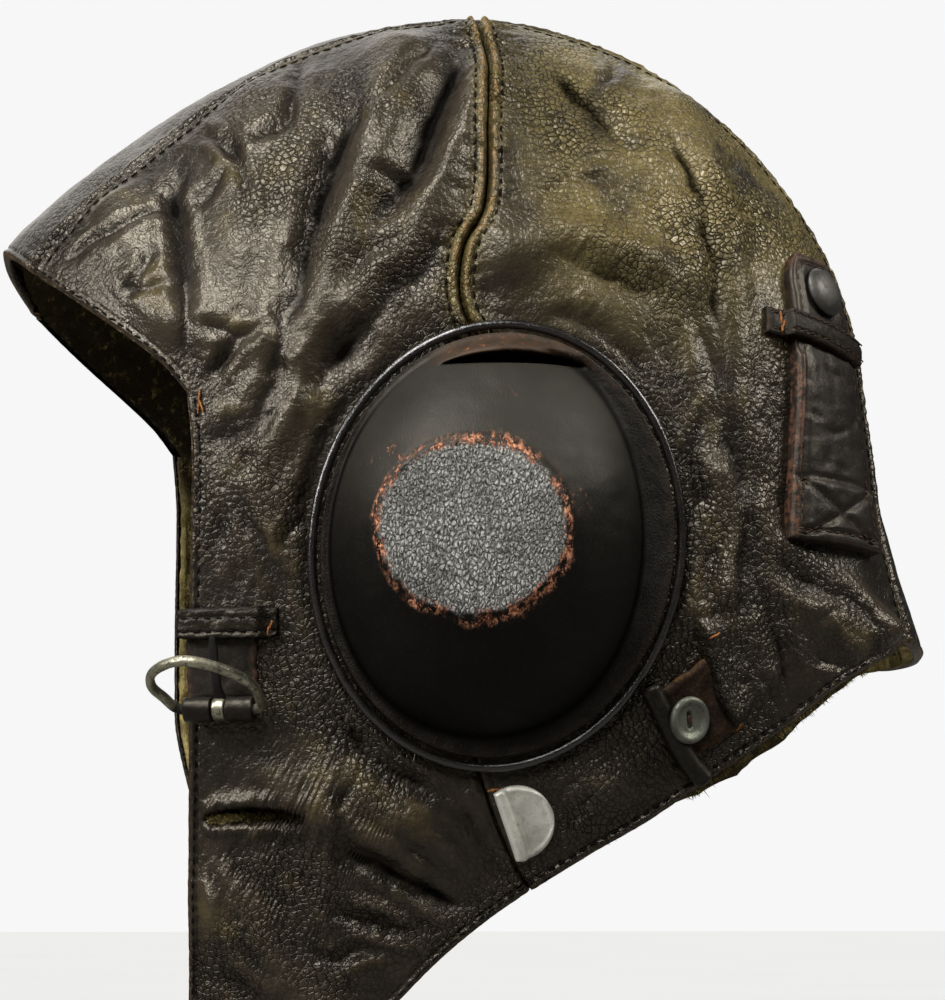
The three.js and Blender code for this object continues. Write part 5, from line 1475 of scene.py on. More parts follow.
def sewn(place, u, v, high, low):
    """Points of a flat piece with softened edges that lies over the skin: u and v are grids, and
    high and low are its two faces' heights."""
    bulge = 0.12
    p = drape(place, u, v)
    n = normal(p)
    high = high + 0 * u
    thick = high - low - 0 * u
    drop = [1.0, 0.6, 0.22]
    ri, ci = (np.array([0] * 3 + list(range(count)) + [count - 1] * 3) for count in u.shape)
    rd, cd = (np.array(drop + [0.0] * count + drop[::-1]) for count in u.shape)
    rd, cd = rd[:, None], cd[None, :]
    depth = np.maximum(rd, cd)
    pick = np.ix_(ri, ci)
    base = p[pick]
    du = np.gradient(p, axis=0)[pick]
    dv = np.gradient(p, axis=1)[pick]
    du /= np.maximum(np.linalg.norm(du, axis=-1, keepdims=True), 1e-9)
    dv /= np.maximum(np.linalg.norm(dv, axis=-1, keepdims=True), 1e-9)
    side_r = np.where(np.arange(len(ri)) < len(ri) / 2, -1.0, 1.0)[:, None, None] * (rd > 0)[..., None]
    side_c = np.where(np.arange(len(ci)) < len(ci) / 2, -1.0, 1.0)[None, :, None] * (cd > 0)[..., None]
    push = (bulge * np.sin(np.pi * np.clip(depth, 0, 1)))[..., None]
    level = high[pick] - depth * thick[pick]
    return base + n[pick] * level[..., None] + push * (side_r * du + side_c * dv), pick, depth


def spans(start, end, step=0.6, fine=2.5, gain=2.0):
    count = max(6, int(abs(end - start) / step * DETAIL))
    return start + (end - start) * graded(count, True, True, abs(end - start), fine, gain)


def from_edge(u, v, half, start, end):
    """Distance to the nearest edge of a piece whose half-width is half."""
    return np.minimum(half - np.abs(v), np.minimum(u - start, end - u))


def strap_piece(name, place, start, end, half_at, high, low, material, seed, node, side=1,
                rough=0.25, step=0.6, finish_off=None):
    """A strap or tab. high and low take (u, v) and give heights over the skin."""
    u = spans(start, end, step)[:, None]
    half = half_at(u)
    s = (spans(0, 1, step / 14) * 2 - 1)[None, :]
    u, v = u + 0 * s, half * s
    half = half + 0 * s
    e = from_edge(u, v, half, start, end)
    q = stacked(u / 4.5, v / 4.5, seed)
    top = high(u, v, e) + rough * fbm(q, seed, 3) * smooth(e / 1.2)
    top = top - 0.35 * bell(e, 0, 0.4)
    points, pick, depth = sewn(place, u, v, top, low(u, v))
    wear = np.clip(np.exp(-((np.maximum(e, 0)[pick] / 0.8) ** 2)), 0, 1)
    masks = {"valley": (0.0 * u)[pick] - 0.2 * (depth > 0.5), "gilt": (0.0 * u)[pick], "wear": wear}
    if finish_off:
        masks = finish_off(masks, u[pick], v[pick], e[pick])
    return add_grid(name, points, masks, material, node, side, True)


class Stitches:
    """Short raised threads, gathered to one mesh."""

    def __init__(self):
        self.points, self.faces, self.count = [], [], 0

    def add(self, middles, ways, outs, long=2.1, thick=0.3, seed=5, slant=0.12):
        rng = np.random.RandomState(seed)
        middles, ways, outs = (np.asarray(a, float).reshape(-1, 3) for a in (middles, ways, outs))
        ways = ways / np.maximum(np.linalg.norm(ways, axis=1, keepdims=True), 1e-9)
        side = unit(np.cross(outs, ways))
        ways = ways + side * rng.normal(0, slant, len(ways))[:, None]
        size = long * rng.uniform(0.85, 1.1, len(ways))
        rings = []
        for t, r, h in ((-0.5, 0.35, -0.3), (-0.42, 0.85, 0.0), (-0.15, 1.0, 0.22), (0.15, 1.0, 0.22),
                        (0.42, 0.85, 0.0), (0.5, 0.35, -0.3)):
            for k in range(6):
                turn = 2 * math.pi * k / 6
                rings.append(middles + ways * (size * t)[:, None] + side * (thick * r * math.cos(turn))
                             + outs * (thick * (h + r * math.sin(turn))))
        points = np.stack(rings, 1).reshape(-1, 3)
        base = self.count + np.arange(len(middles)) * 36
        for ring in range(5):
            for k in range(6):
                a, b = ring * 6 + k, ring * 6 + (k + 1) % 6
                self.faces.append(np.stack([base + a, base + b, base + b + 6, base + a + 6], 1))
        self.points.append(points)
        self.count += len(points)

    def finish(self, name, material, side=1, slot="leather"):
        points, faces = np.vstack(self.points), np.vstack(self.faces)
        if side < 0:
            points, faces = mirrored(points), faces[:, ::-1]
        return add(name, make_mesh(name, points, faces), material)


def along_line(line, pitch, start=0.0, end=1.0):
    """Evenly spaced points along a dense line and the direction at each."""
    run = lengths(line)[-1]
    count = max(2, int(run * (end - start) / pitch))
    t = start + (end - start) * (np.arange(count) + 0.5) / count
    p = resample(line, t)
    q = resample(line, np.minimum(1, t + 0.5 / run)) - resample(line, np.maximum(0, t - 0.5 / run))
    return p, q


def hull_stitches(stitches, line, pitch, seed, panel_seed, long=2.0, thick=0.3, start=0.0, end=1.0,
                  mirror_flap=False):
    p, ways = along_line(line, pitch, start, end)
    n = normal(p)
    height, _ = panel_height(p[None], panel_seed, 0)
    middles = p + n * (height[0][:, None] + 0.12)
    if mirror_flap:
        middles = swung(middles)
    stitches.add(middles, ways, n, long, thick, seed)


def seam_rows(side):
    """Stitching beside the seams and inside the free edges of one side."""
    seeds = PANEL_SEEDS[side]
    back, front = Stitches(), Stitches()
    flap = side < 0
    angles = np.linspace(92, 146, 300)
    hull_stitches(front, skin(disc_from_half(angles, strip_half(angles) + 3.0)), 3.0, 1, seeds[0],
                  thick=0.22)
    angles = np.linspace(-8, 88, 500)
    hull_stitches(back, skin(disc_from_half(angles, strip_half(angles) + 3.0)), 3.0, 2, seeds[1],
                  thick=0.22)
    cross = LINES["cross"]
    sideways = unit(np.cross(normal(cross), np.gradient(cross, axis=0)))
    sideways *= np.sign(sideways[:, 1:2])
    for off, group, seed, pseed in ((-3.3, front, 3, seeds[0]), (3.3, back, 4, seeds[1])):
        line = skin(to_disc(cross + sideways * off))
        hull_stitches(group, line, 3.1, seed, pseed, start=0.06, end=0.97)
    edge = side_line(toward_ear(FACE_EDGE, -2.1))
    hull_stitches(front, edge, 2.9, 5, seeds[0], long=1.9, mirror_flap=flap)
    brow = side_line([(y - 0.3, z + 2.0) for y, z in BROW_ROWS])
    hull_stitches(front, brow, 2.9, 6, seeds[0], long=1.9, start=0.02, end=0.98)
    tip = side_line(toward_ear(CHIN_TIP, -2.1))
    hull_stitches(front, tip, 2.9, 7, seeds[0], long=1.9, mirror_flap=flap)
    hem = side_line(toward_ear(NECK_EDGE, -2.1))
    hull_stitches(back, hem, 2.9, 8, seeds[1], long=1.9, mirror_flap=flap)
    word = WORD[side]
    front.finish(f"{word}_front_stitches", DARK_THREAD, side)
    back.finish(f"{word}_rear_stitches", DARK_THREAD, side)


for side in (1, -1):
    seam_rows(side)

KEEPER = {"y": 78.2, "z": -100, "turn": 85, "long": 74, "low": 31, "top": 18.5, "thick": 2.8, "tip": 8}
SEWN_GAP = 0.5
KEEPER_PLACE = place_on(KEEPER["y"], KEEPER["z"], KEEPER["turn"])
LOOP_PLACE = place_on(75.4, -84, -12)
SNAP_UP, SNAP_RADIUS = 27, 6.3


def keeper_half(u):
    """Half the width of the keeper, which is narrower at its top."""
    end = KEEPER["long"] / 2
    share = u / KEEPER["long"] + 0.5
    tip = np.clip((u - end + KEEPER["tip"]) / KEEPER["tip"], 0, 1)
    return (KEEPER["low"] + (KEEPER["top"] - KEEPER["low"]) * share) / 2 * (1 - 0.4 * tip**2)


def keeper_top(u, v, e):
    """Pad with a stitched border, pressed in under the loop and pulled down at its lower end."""
    base = SEWN_GAP + KEEPER["thick"]
    border = -0.45 * bell(e, 2.4, 0.5) + 0.25 * bell(e, 3.6, 1.0)
    pressed = -0.9 * bell(u, 14.5, 3.6)
    belly = 0.7 * smooth(e / 7) * smooth((16 - u) / 20)
    front = keeper_half(u) - v
    below_loop = smooth((10.5 - u) / 1.5) * smooth((u + 21) / 1.5)
    bead = below_loop * (0.9 * bell(front, 1.1, 0.9) - 0.7 * bell(front, 2.6, 0.5))
    foot = np.exp(-(((u + 21.5) / 0.9) ** 2)) * (np.abs(v) < 12.5)
    cross = np.minimum(np.abs((u + 29.3) * 1.65 - v), np.abs((u + 29.3) * 1.65 + v))
    box = -0.8 * foot - 1.0 * bell(cross, 0, 1.5) * (u < -21.5) * (u > -36) + 0.7 * (u < -21.5)
    crack = -0.55 * bell(ridged(stacked(u / 12, v / 12, 4.4), 107, 2), 1.0, 0.28)
    crack = crack * smooth((u + 20) / 4) * smooth((12 - u) / 4)
    return base + border + pressed + belly + box + bead + crack * (front > 4)


def keeper_masks(masks, u, v, e):
    """Raw leather along the keeper's front edge and at its top."""
    raw = np.exp(-((np.maximum(keeper_half(u) - v, 0) / 1.9) ** 4)) * smooth((10.5 - u) / 1.5)
    top_edge = smooth((u - 31) / 3) * np.exp(-((np.maximum(e, 0) / 1.3) ** 2))
    masks["wear"] = np.clip(0.25 * masks["wear"] + 1.3 * raw + 1.2 * top_edge, 0, 1)
    front = keeper_half(u) - v
    # Painted shade in the groove behind the bead, below the loop
    masks["valley"] = masks["valley"] - 0.9 * bell(front, 2.7, 0.45) * smooth((10.5 - u) / 1.5)
    return masks


def outline_stitches(stitches, place, u_range, half_at, inset, pitch, lift_at, seed, long=1.9, thick=0.28):
    """A row of stitches inside a strap's outline."""
    u0, u1 = u_range
    us = np.linspace(u0 + inset, u1 - inset, 60)
    hs = half_at(us) - inset
    loop = np.concatenate([stacked(us, -hs), stacked(us[::-1], hs[::-1]), [[us[0], -hs[0]]]])
    run = lengths(loop)
    count = int(run[-1] / pitch)
    at = (np.arange(count) + 0.5) / count
    q = resample(loop, at)
    q2 = resample(loop, np.minimum(1, at + 0.3 / run[-1]))
    put_stitches(stitches, place, q, q2, lift_at, seed, long, thick)


def put_stitches(stitches, place, q, q2, lift_at, seed, long=1.9, thick=0.28):
    p, p2 = drape(place, q[:, 0], q[:, 1]), drape(place, q2[:, 0], q2[:, 1])
    n = normal(p)
    lift = lift_at(q[:, 0], q[:, 1])
    stitches.add(p + n * (lift + 0.1)[:, None], p2 - p, n, long, thick, seed)


def line_stitches(stitches, place, start, end, pitch, lift_at, seed, long=1.9, thick=0.28):
    """A straight row of stitches between two points of a strap."""
    loop = np.array([start, end], float)
    run = lengths(loop)[-1]
    count = max(1, int(run / pitch))
    at = (np.arange(count) + 0.5) / count
    put_stitches(stitches, place, resample(loop, at), resample(loop, np.minimum(1, at + 0.3 / run)),
                 lift_at, seed, long, thick)


LOOP = {"from": -16, "raised": -10, "lowered": 14.9, "to": 16.8, "slope": 1.6, "wide": 6.5, "thick": 1.7}


def loop_lift(u):
    """How far the loop stands off the leather where it runs over the keeper."""
    middle = (LOOP["raised"] + LOOP["lowered"]) / 2
    shelf = (LOOP["lowered"] - LOOP["raised"]) / 2
    over = KEEPER["thick"] + SEWN_GAP - 0.45
    return 0.3 + over * (1 - smooth((np.abs(u - middle) - shelf) / LOOP["slope"]))


def snap_cap(side):
    """A domed press-stud cap with a rolled rim."""
    profile = [(0.0, 3.0), (1.2, 2.96), (2.4, 2.84), (3.6, 2.58), (4.6, 2.22), (5.4, 1.78), (5.9, 1.38),
               (6.2, 1.02), (6.4, 0.70), (6.4, 0.45), (6.2, 0.15), (5.8, -0.2)]
    base = drape(KEEPER_PLACE, np.array(SNAP_UP), np.array(0.0))
    out = normal(base)
    centre = base + out * (SEWN_GAP + KEEPER["thick"] + 0.3)
    grid = turned(centre, out, profile, 56)
    word = WORD[side]
    return add_grid(f"{word}_snap_cap", grid, {}, BLACKENED, f"{word}_keeper_snap", side)


def turned(centre, axis, profile, sides):
    """A turned surface about an axis: rows go from its middle outwards."""
    a = unit(np.cross(axis, [0.3, 1, 0.2]))
    b = np.cross(axis, a)
    turn = np.linspace(0, 2 * math.pi, sides + 1)[None, :, None]
    prof = np.asarray(profile, float)
    dense_profile = resample(catmull(prof, 3), np.linspace(0, 1, 3 * len(prof)))
    r, h = dense_profile[:, 0][:, None, None], dense_profile[:, 1][:, None, None]
    return centre + r * (np.cos(turn) * a + np.sin(turn) * b) + h * axis


def goggle_keeper(side, seed):
    word = WORD[side]
    end = KEEPER["long"] / 2
    low = lambda u, v: -0.6 + 0 * u
    strap_piece(f"{word}_keeper_strap", KEEPER_PLACE, -end, end, keeper_half, keeper_top, low,
                KEEPER_SKIN, seed, f"{word}_goggle_keeper", side, 0.22, finish_off=keeper_masks)
    half = lambda u: LOOP["wide"] / 2 + 0.12 * np.sin(u / 3.0)
    over = lambda u, v: loop_lift(u) + LOOP["thick"]
    high = lambda u, v, e: over(u, v) - 0.3 * bell(e, 1.1, 0.35) + 0.15 * bell(np.abs(v), 0, 1.2)
    under = lambda u, v: loop_lift(u) - 0.5
    strap_piece(f"{word}_loop_strap", LOOP_PLACE, LOOP["from"], LOOP["to"], half, high, under,
                STRAP_SKIN, seed + 1, f"{word}_keeper_loop", side, 0.15, 0.35)
    snap_cap(side)
    s = Stitches()
    lift = lambda u, v: keeper_top(u, v, np.full(np.shape(u), 2.4))
    outline_stitches(s, KEEPER_PLACE, (-end, end), keeper_half, 2.4, 2.7, lift, seed, 1.9, 0.26)
    flat = lambda u, v: keeper_top(u, v, np.full(np.shape(u), 5.0)) - 0.25
    for a, b in (((-36, -12), (-22.5, 12)), ((-36, 12), (-22.5, -12)), ((-21.8, -12.5), (-21.8, 12.5))):
        line_stitches(s, KEEPER_PLACE, a, b, 2.7, flat, seed + 2, 1.9, 0.26)
    for v in (-2.15, 2.15):
        start, stop = (LOOP["from"] + 1, v), (LOOP["to"] - 1, v)
        line_stitches(s, LOOP_PLACE, start, stop, 2.2, over, seed + 3, 1.5, 0.2)
    s.finish(f"{word}_keeper_stitches", BROWN_THREAD, side, "strap")
    rust = Stitches()
    for u, v, long in ((-12.4, 0.9, 3.6), (-11.7, -0.6, 4.0), (-12.1, -1.8, 2.0)):
        p = drape(LOOP_PLACE, np.array([u]), np.array([v]))
        rust.add(p + normal(p) * (over(np.array([u]), 0) + 0.1)[:, None], LOOP_PLACE["across"][None],
                 normal(p), long, 0.32, int(10 * -u), 0.2)
    rust.finish(f"{word}_loop_tack", RUST_THREAD, side, "strap")


goggle_keeper(1, 101)
goggle_keeper(-1, 121)

# Chin-strap buckle

BUCKLE_PLACE = place_on(-70, -177)
BUCKLE_AXIS = 3.8
TAB_WIDE, TAB_LONG, TAB_THICK, TUBE, BORE = 17, 20, 1.6, 3.0, 1.5
BAR = BUCKLE_PLACE["origin"] + BUCKLE_PLACE["out"] * BUCKLE_AXIS
TAB_PLACE = {"origin": BUCKLE_PLACE["origin"], "out": BUCKLE_PLACE["out"],
             "along": BUCKLE_PLACE["across"], "across": -BUCKLE_PLACE["along"]}


def buckle_tab():
    high = lambda u, v, e: 0.3 + TAB_THICK + 0.12 * bell(np.abs(v), 0, 5) - 0.25 * bell(e, 1.5, 0.4)
    strap_piece("buckle_tab_strap", TAB_PLACE, 1.0, TAB_LONG, lambda u: TAB_WIDE / 2 + 0.15 * np.sin(u),
                high, lambda u, v: -0.4 + 0 * u, KEEPER_SKIN, 141, "buckle_tab", 1, 0.3)
    # the turned end that holds the bar, with a notch for the prong
    for i, (a, b) in enumerate(((-TAB_WIDE / 2, -1.9), (1.9, TAB_WIDE / 2))):
        xs = spans(a, b, 0.4, 1.2, 2)
        count = 40
        turn = np.linspace(-0.62 * math.pi, 1.02 * math.pi, count)
        outer = TUBE * (1 + 0.03 * perlin(stacked(xs[:, None] / 1.6, turn[None] * 1.2, 3 * i), 143))
        soft = np.minimum(1, (np.minimum(xs - a, b - xs) / 0.5 + 0.35))[:, None] ** 0.5
        outer = outer * (0.93 + 0.07 * soft)
        up, out = BUCKLE_PLACE["across"], BUCKLE_PLACE["out"]
        line = BAR + xs[:, None, None] * BUCKLE_PLACE["along"]
        around = np.cos(turn)[None, :, None] * out - np.sin(turn)[None, :, None] * up
        skin_face = line + outer[..., None] * around
        inner = line + np.full(outer.shape, BORE + 0.05)[..., None] * around
        grid = np.concatenate([inner[:1], skin_face, inner[-1:]])
        sheet = Sheet()
        worn = np.exp(-((np.minimum(xs - a, b - xs)[:, None] / 0.8) ** 2)) + 0 * outer
        wear = np.concatenate([np.ones((1, count)), worn, np.ones((1, count))])
        sheet.add(grid, {"valley": 0 * wear, "gilt": 0 * wear, "wear": wear}, flip=True)
        none = 0 * inner[..., 0]
        # A little painted shade inside the bore, through the valley mask
        sheet.add(inner, {"valley": none - 0.5, "gilt": none, "wear": none})
        name = f"buckle_tab_fold_{i + 1}"
        add(name, sheet.mesh(name), ROLL_SKIN)


def unworn(masks, u, v, e):
    """Masks of the welt: no worn rim, and painted shade, darkest along its edge and stitch rows."""
    masks["wear"] = 0 * masks["wear"]
    rim = 0.7 * np.exp(-((np.maximum(e, 0) / 0.7) ** 2))
    rows = 0.5 * bell(np.abs(v + 0.2), 1.55, 0.35)
    masks["valley"] = masks["valley"] - 0.5 - rim - rows
    return masks


def buckle_welt():
    low_v, high_v, front, back, thick = 16.5, 24.0, -9.0, 14.0, 2.0
    middle = (low_v + high_v) / 2
    place = dict(BUCKLE_PLACE, origin=drape(BUCKLE_PLACE, np.array(0.0), np.array(middle)))
    over, shelf = TAB_THICK + 0.3, TAB_WIDE / 2 + 0.8
    lift = lambda u: 0.3 + over * (1 - smooth((np.abs(u) - shelf) / 2.4))
    half_v = (high_v - low_v) / 2

    def high(u, v, e):
        rows = 0.25 * bell(v, -half_v + 1.0, 0.9) - 0.25 * bell(np.abs(v + 0.2), 1.75, 0.4)
        return lift(u) + thick - 0.1 + rows + 0.3 * bell(u, 2.5, 7) * bell(v, 0.4, 1.6)

    def half(u):
        return half_v * (1 - 0.12 * smooth((np.abs(u - 2.5) - 9) / 3)) + 0.1 * np.sin(u * 1.3)

    strap_piece("buckle_welt_strap", place, front - 1.4, back, half, high, lambda u, v: lift(u) - 0.6,
                LEATHER_SKIN, 151, "buckle_welt", 1, 0.45, 0.4, finish_off=unworn)
    over_welt = lambda u, v: lift(u) + thick - 0.15
    s = Stitches()
    for v in (-1.75, 1.35):
        line_stitches(s, place, (front - 0.4, v), (back - 1, v), 2.5, over_welt, 152, 1.8, 0.24)
    s.finish("buckle_welt_stitches", DARK_THREAD, 1, "strap")
    rust = Stitches()
    for u, v, way in ((back - 2.2, -1.9, 0.25), (back - 1.5, -0.6, 0.35)):
        p = drape(place, np.array([u]), np.array([v]))
        ways = place["along"] * way + place["across"]
        rust.add(p + normal(p) * (lift(np.array([u])) + thick + 0.1)[:, None], ways[None], normal(p),
                 2.2, 0.26, int(10 * u) % 17)
    rust.finish("buckle_tack_stitches", RUST_THREAD, 1, "strap")


def leaning(degrees):
    """The direction from the buckle's bar at this angle to the tab."""
    c, s = math.cos(math.radians(degrees)), math.sin(math.radians(degrees))
    return BUCKLE_PLACE["across"] * c + BUCKLE_PLACE["out"] * s


def ring_path(count):
    """The wire's middle line in its own plane: across, and away from the bar."""
    bar, wide, long, skew = 8.8, 12.4, 24.2, 2.4
    half = [(0, 0), (bar * 0.5, 0), (bar, 0), (bar + 1.9, 1.3), (wide - 0.7, 6), (wide, 11.5),
            (wide * 0.82, 17.4), (wide * 0.45, 22)]
    flat = half + [(0, long)] + [(-p, q) for p, q in half[:0:-1]]
    pts = np.array([(p - skew * smooth(q / long), q) for p, q in flat])
    loop = np.vstack([pts[-3:], pts, pts[:4]])
    curve = catmull(loop, 24)[24 * 3 : 24 * (3 + len(pts))]
    curve = np.vstack([curve, curve[:1]])
    return resample(curve, np.linspace(0, 1, count + 1))[:-1]


def buckle_ring():
    """A bent wire ring, flat on its inner side, with a lapped joint on its bar."""
    flat = ring_path(int(260 * DETAIL))
    away = leaning(57)
    line = BAR + flat[:, :1] * BUCKLE_PLACE["along"] + flat[:, 1:] * away
    over = np.cross(BUCKLE_PLACE["along"], away)
    sides = 20
    turn = np.linspace(0, 2 * math.pi, sides + 1)[None, :]
    n = len(flat)
    uneven = 0.04 * perlin(stacked(np.arange(n) / 7.0, 0, 0), 161)
    ends = smooth(np.minimum(np.arange(n), n - np.arange(n)) / 8)
    bar = smooth((1.5 - flat[:, 1]) / 1.2)
    radius = 1.22 * (1 + uneven * ends)[:, None] * (1 - 0.10 * np.cos(2 * turn)) * (1 - 0.02 * bar[:, None])
    grid = tube(line, radius, sides, True, up=over)
    # Darker near the bar, most on its left half
    near_bar = smooth((5.5 - flat[:, 1]) / 5) * (flat[:, 0] < 0)
    dark = np.clip(near_bar + 0.6 * smooth((3 - flat[:, 1]) / 3), 0, 0.95)
    masks = {"darkened": np.append(dark, dark[0])[:, None] + 0 * turn}
    return add_grid("buckle_wire_ring", grid, masks, BUCKLE_STEEL, "buckle_ring", body="ring")


def buckle_prong():
    """A prong: sheet metal curled round the bar and drawn out to a blunt point."""
    away = leaning(14)
    along = BUCKLE_PLACE["along"]
    over = np.cross(along, away)
    turn = np.linspace(-0.10 * math.pi, 1.86 * math.pi, int(44 * DETAIL) + 6)
    mid = 2.15
    curl = stacked(np.cos(turn) * mid, np.sin(turn) * mid)[::-1]
    tip = 18.6
    run = np.linspace(0, 1, int(40 * DETAIL) + 6)[1:]
    start = curl[-1]
    shaft = stacked(start[0] + (tip - start[0]) * run,
                    start[1] * (1 - smooth(run * 3.2)) + 0.35 * np.sin(run * math.pi))
    path = np.vstack([curl, shaft])
    length = lengths(path)
    share = length / length[-1]
    thick = 1.05 * (1 - 0.25 * smooth((share - 0.85) / 0.15))
    half = np.where(path[:, 0] < 2.9, 1.55, 1.55 - 0.45 * smooth((path[:, 0] - 2.9) / 3))
    half = half * (1 - 0.35 * smooth((share - 0.86) / 0.14))
    ends = np.minimum(1, np.sqrt(np.clip((length[-1] - length) / 0.9, 0.02, 1)))
    run2 = unit(np.gradient(path, axis=0))
    nrm = stacked(-run2[:, 1], run2[:, 0])
    k = 16
    a = np.linspace(0, 2 * math.pi, k + 1)[None, :]
    # the higher, the squarer its section
    box = 3.2
    cx = np.sign(np.cos(a)) * np.abs(np.cos(a)) ** (2 / box)
    cy = np.sign(np.sin(a)) * np.abs(np.sin(a)) ** (2 / box)
    wide = (half * ends)[:, None] * cx
    deep = (thick / 2 * ends)[:, None] * cy
    flat = path[:, None] + nrm[:, None] * deep[..., None]
    grid = BAR + flat[..., :1] * away + flat[..., 1:] * over + wide[..., None] * along
    first, last = (end.mean(1, keepdims=True) + 0 * end for end in (grid[:1], grid[-1:]))
    grid = np.concatenate([first, grid, last])
    # The shaft past the curl is darkened to near black
    dark = smooth((path[:, 0] - 1.4) / 1.2) * (length > length[len(turn) - 1] - 1.2)
    dark = np.concatenate([dark[:1], dark, dark[-1:]])
    masks = {"darkened": dark[:, None] + 0 * a}
    return add_grid("buckle_prong_strip", grid, masks, BUCKLE_STEEL, "buckle_prong", 1,
                    True, "prong")


buckle_tab()
buckle_welt()
buckle_ring()
buckle_prong()

# Strap tip, neck tab and button

TIP_PLACE = place_on(-3.2, -205.3, 20)


def strap_tip():
    chord, deep, thick, roll = 17, 12, 1.2, 1.3
    radius = ((chord / 2) ** 2 + deep**2) / (2 * deep)
    centre = deep - radius

    def half(u):
        return np.maximum(0.8, np.sqrt(np.maximum(0, radius**2 - (u - centre) ** 2)))

    def high(u, v, e):
        rolled = roll * np.sqrt(np.maximum(0, 1 - ((u - 1.2) / 1.5) ** 2))
        return SEWN_GAP + thick + rolled - 0.45 * bell(u, 3.4, 0.7) + 0.35 * bell(e, 0.9, 0.6) * (u > 3)

    strap_piece("strap_tip_metal", TIP_PLACE, 0.0, deep, half, high, lambda u, v: -0.3 + 0 * u,
                SILVERED, 171, "strap_tip", 1, 0.12, 0.3)


TAB2 = {"wide": 18.4, "up": 1.8, "thick": 1.2, "roll": 2.45, "roll_long": 27.4}


def neck_tab():
    """A brown leather tab whose end is folded to a dark roll."""
    roll, thick = TAB2["roll"], TAB2["thick"]
    place = dict(NECK_PLACE, origin=drape(NECK_PLACE, np.array(0.0), np.array(TAB2["up"])))
    half = lambda u: TAB2["wide"] / 2 * (1 + 0.04 * smooth((u - 9) / 6)) + 0.18 * np.sin(u * 0.9)
    high = lambda u, v, e: SEWN_GAP + thick + 0.25 * bell(e, 1.4, 1.0) * (u > 3.5) - 0.3 * bell(u, 3.0, 0.9)
    strap_piece("neck_tab_strap", place, 0.5, TAB_END, half, high, lambda u, v: -0.4 + 0 * u,
                SUEDE_SKIN, 181, "neck_tab", 1, 0.35, 0.45)
    reach_out = TAB2["roll_long"] / 2
    ends = np.linspace(-reach_out, reach_out, int(100 * DETAIL))
    base = drape(NECK_PLACE, 0.3 * np.sin(ends / 4.0) - 0.2 + 0.006 * ends**2, ends)
    line = base + normal(base) * (SEWN_GAP + roll - 0.1)
    soft = np.sqrt(np.clip(1 - ((np.abs(ends) - reach_out + 1.0) / 1.2).clip(0) ** 2, 0.004, 1))
    turn = np.linspace(0, 360, 29)[None, :]
    crumple = 0.12 * ridged(stacked(ends[:, None] / 7, turn / 80, 0), 185, 2)
    radius = (roll + crumple * np.cos(np.radians(turn / 2)) ** 2) * soft[:, None]
    grid = tube(line, radius, 28, up=NECK_PLACE["out"])
    wear = 0.35 * np.exp(-(((reach_out - np.abs(ends)) / 1.2) ** 2))[:, None] + 0 * turn
    masks = {"valley": 0 * wear, "gilt": 0 * wear, "wear": wear}
    add_grid("neck_tab_roll", grid, masks, ROLL_SKIN)


BUTTON_AT, BUTTON_TILT = (39.7, -179.2), 20.0


def neck_button():
    """A dished two-hole button with thread through it."""
    base = place_on(*BUTTON_AT)["origin"]
    along = place_on(*BUTTON_AT, 8)["along"]
    tilt = math.radians(BUTTON_TILT)
    out = unit(normal(base) * math.cos(tilt) + along * math.sin(tilt))
    centre = base + normal(base) * (SEWN_GAP + TAB2["thick"] + 1.5)
    profile = [(0.0, 1.15), (0.6, 1.15), (1.2, 1.17), (1.9, 1.2), (2.7, 1.26), (3.3, 1.42), (3.8, 1.8),
               (4.3, 2.1), (4.8, 2.18), (5.3, 2.0), (5.65, 1.55), (5.7, 1.0), (5.4, 0.5), (4.6, 0.1),
               (3.5, 0.0)]
    grid = turned(centre, out, profile, 96)
    across = unit(np.cross(out, along))
    row = np.cross(across, out)
    d = grid - centre
    gu, gv = d @ row, d @ across
    top = (d @ out) > 0.9
    slot = np.exp(-((np.hypot(gu, np.maximum(np.abs(gv) - 1.5, 0)) / 0.62) ** 4))
    grid = grid - out * (1.0 * slot * top)[..., None]
    add_grid("neck_button_disc", grid, {}, PEWTER, "neck_button")
    thread = Stitches()
    for k in (-0.25, 0.05, 0.28):
        thread.add((centre + out * 0.95 + row * k)[None], across[None], out[None], 2.7, 0.22,
                   int(100 * k) % 13, 0.05)
    thread.finish("button_thread", BROWN_THREAD, 1, "suede")


strap_tip()
neck_tab()
neck_button()
slit_fibres()


def tacks():
    """Rust-coloured bar tacks where straps enter the leather."""
    rust = Stitches()
    # y, z, direction in degrees from +Y towards +Z, length
    marks = [
        (-76.5, -103.4, 111, 5.6), (-76.0, -104.4, 108, 4.0),
        (45.3, -159.5, 40, 2.2), (46.2, -159.2, 52, 1.8), (52.2, -181.7, 30, 2.4), (53.1, -181.0, 55, 2.0),
        (-6.6, -196.6, 20, 2.2), (-5.4, -196.4, 35, 1.8),
    ]
    for i, (y, z, way, long) in enumerate(marks):
        p = skin(disc_from_side([y], [z]))
        n = normal(p)
        w = np.array([0, math.cos(math.radians(way)), math.sin(math.radians(way))])
        w = w - n[0] * (w @ n[0])
        height, _ = panel_height(p[None], PANEL_SEEDS[1][int(y >= 0)], 1)
        rust.add(p + n * (max(height[0][0], 0.0) + 0.35), w[None], n, long, 0.30, 200 + i, 0.3)
    rust.finish("rust_tacks", RUST_THREAD)


tacks()

# Stage, light and camera

FLOOR_SIZE, FLOOR_Z = 16.0, -0.40
# the photo's angle, the distance in metres, the focal length in pixels of a picture 1000 high
AZIMUTH, ELEVATION, DISTANCE, FOCAL = 84.1, -5.8, 1.0, 3846.15
SENSOR, PICTURE = 36, 1000
LOOK_AT = (0, -0.00325, -0.1194)


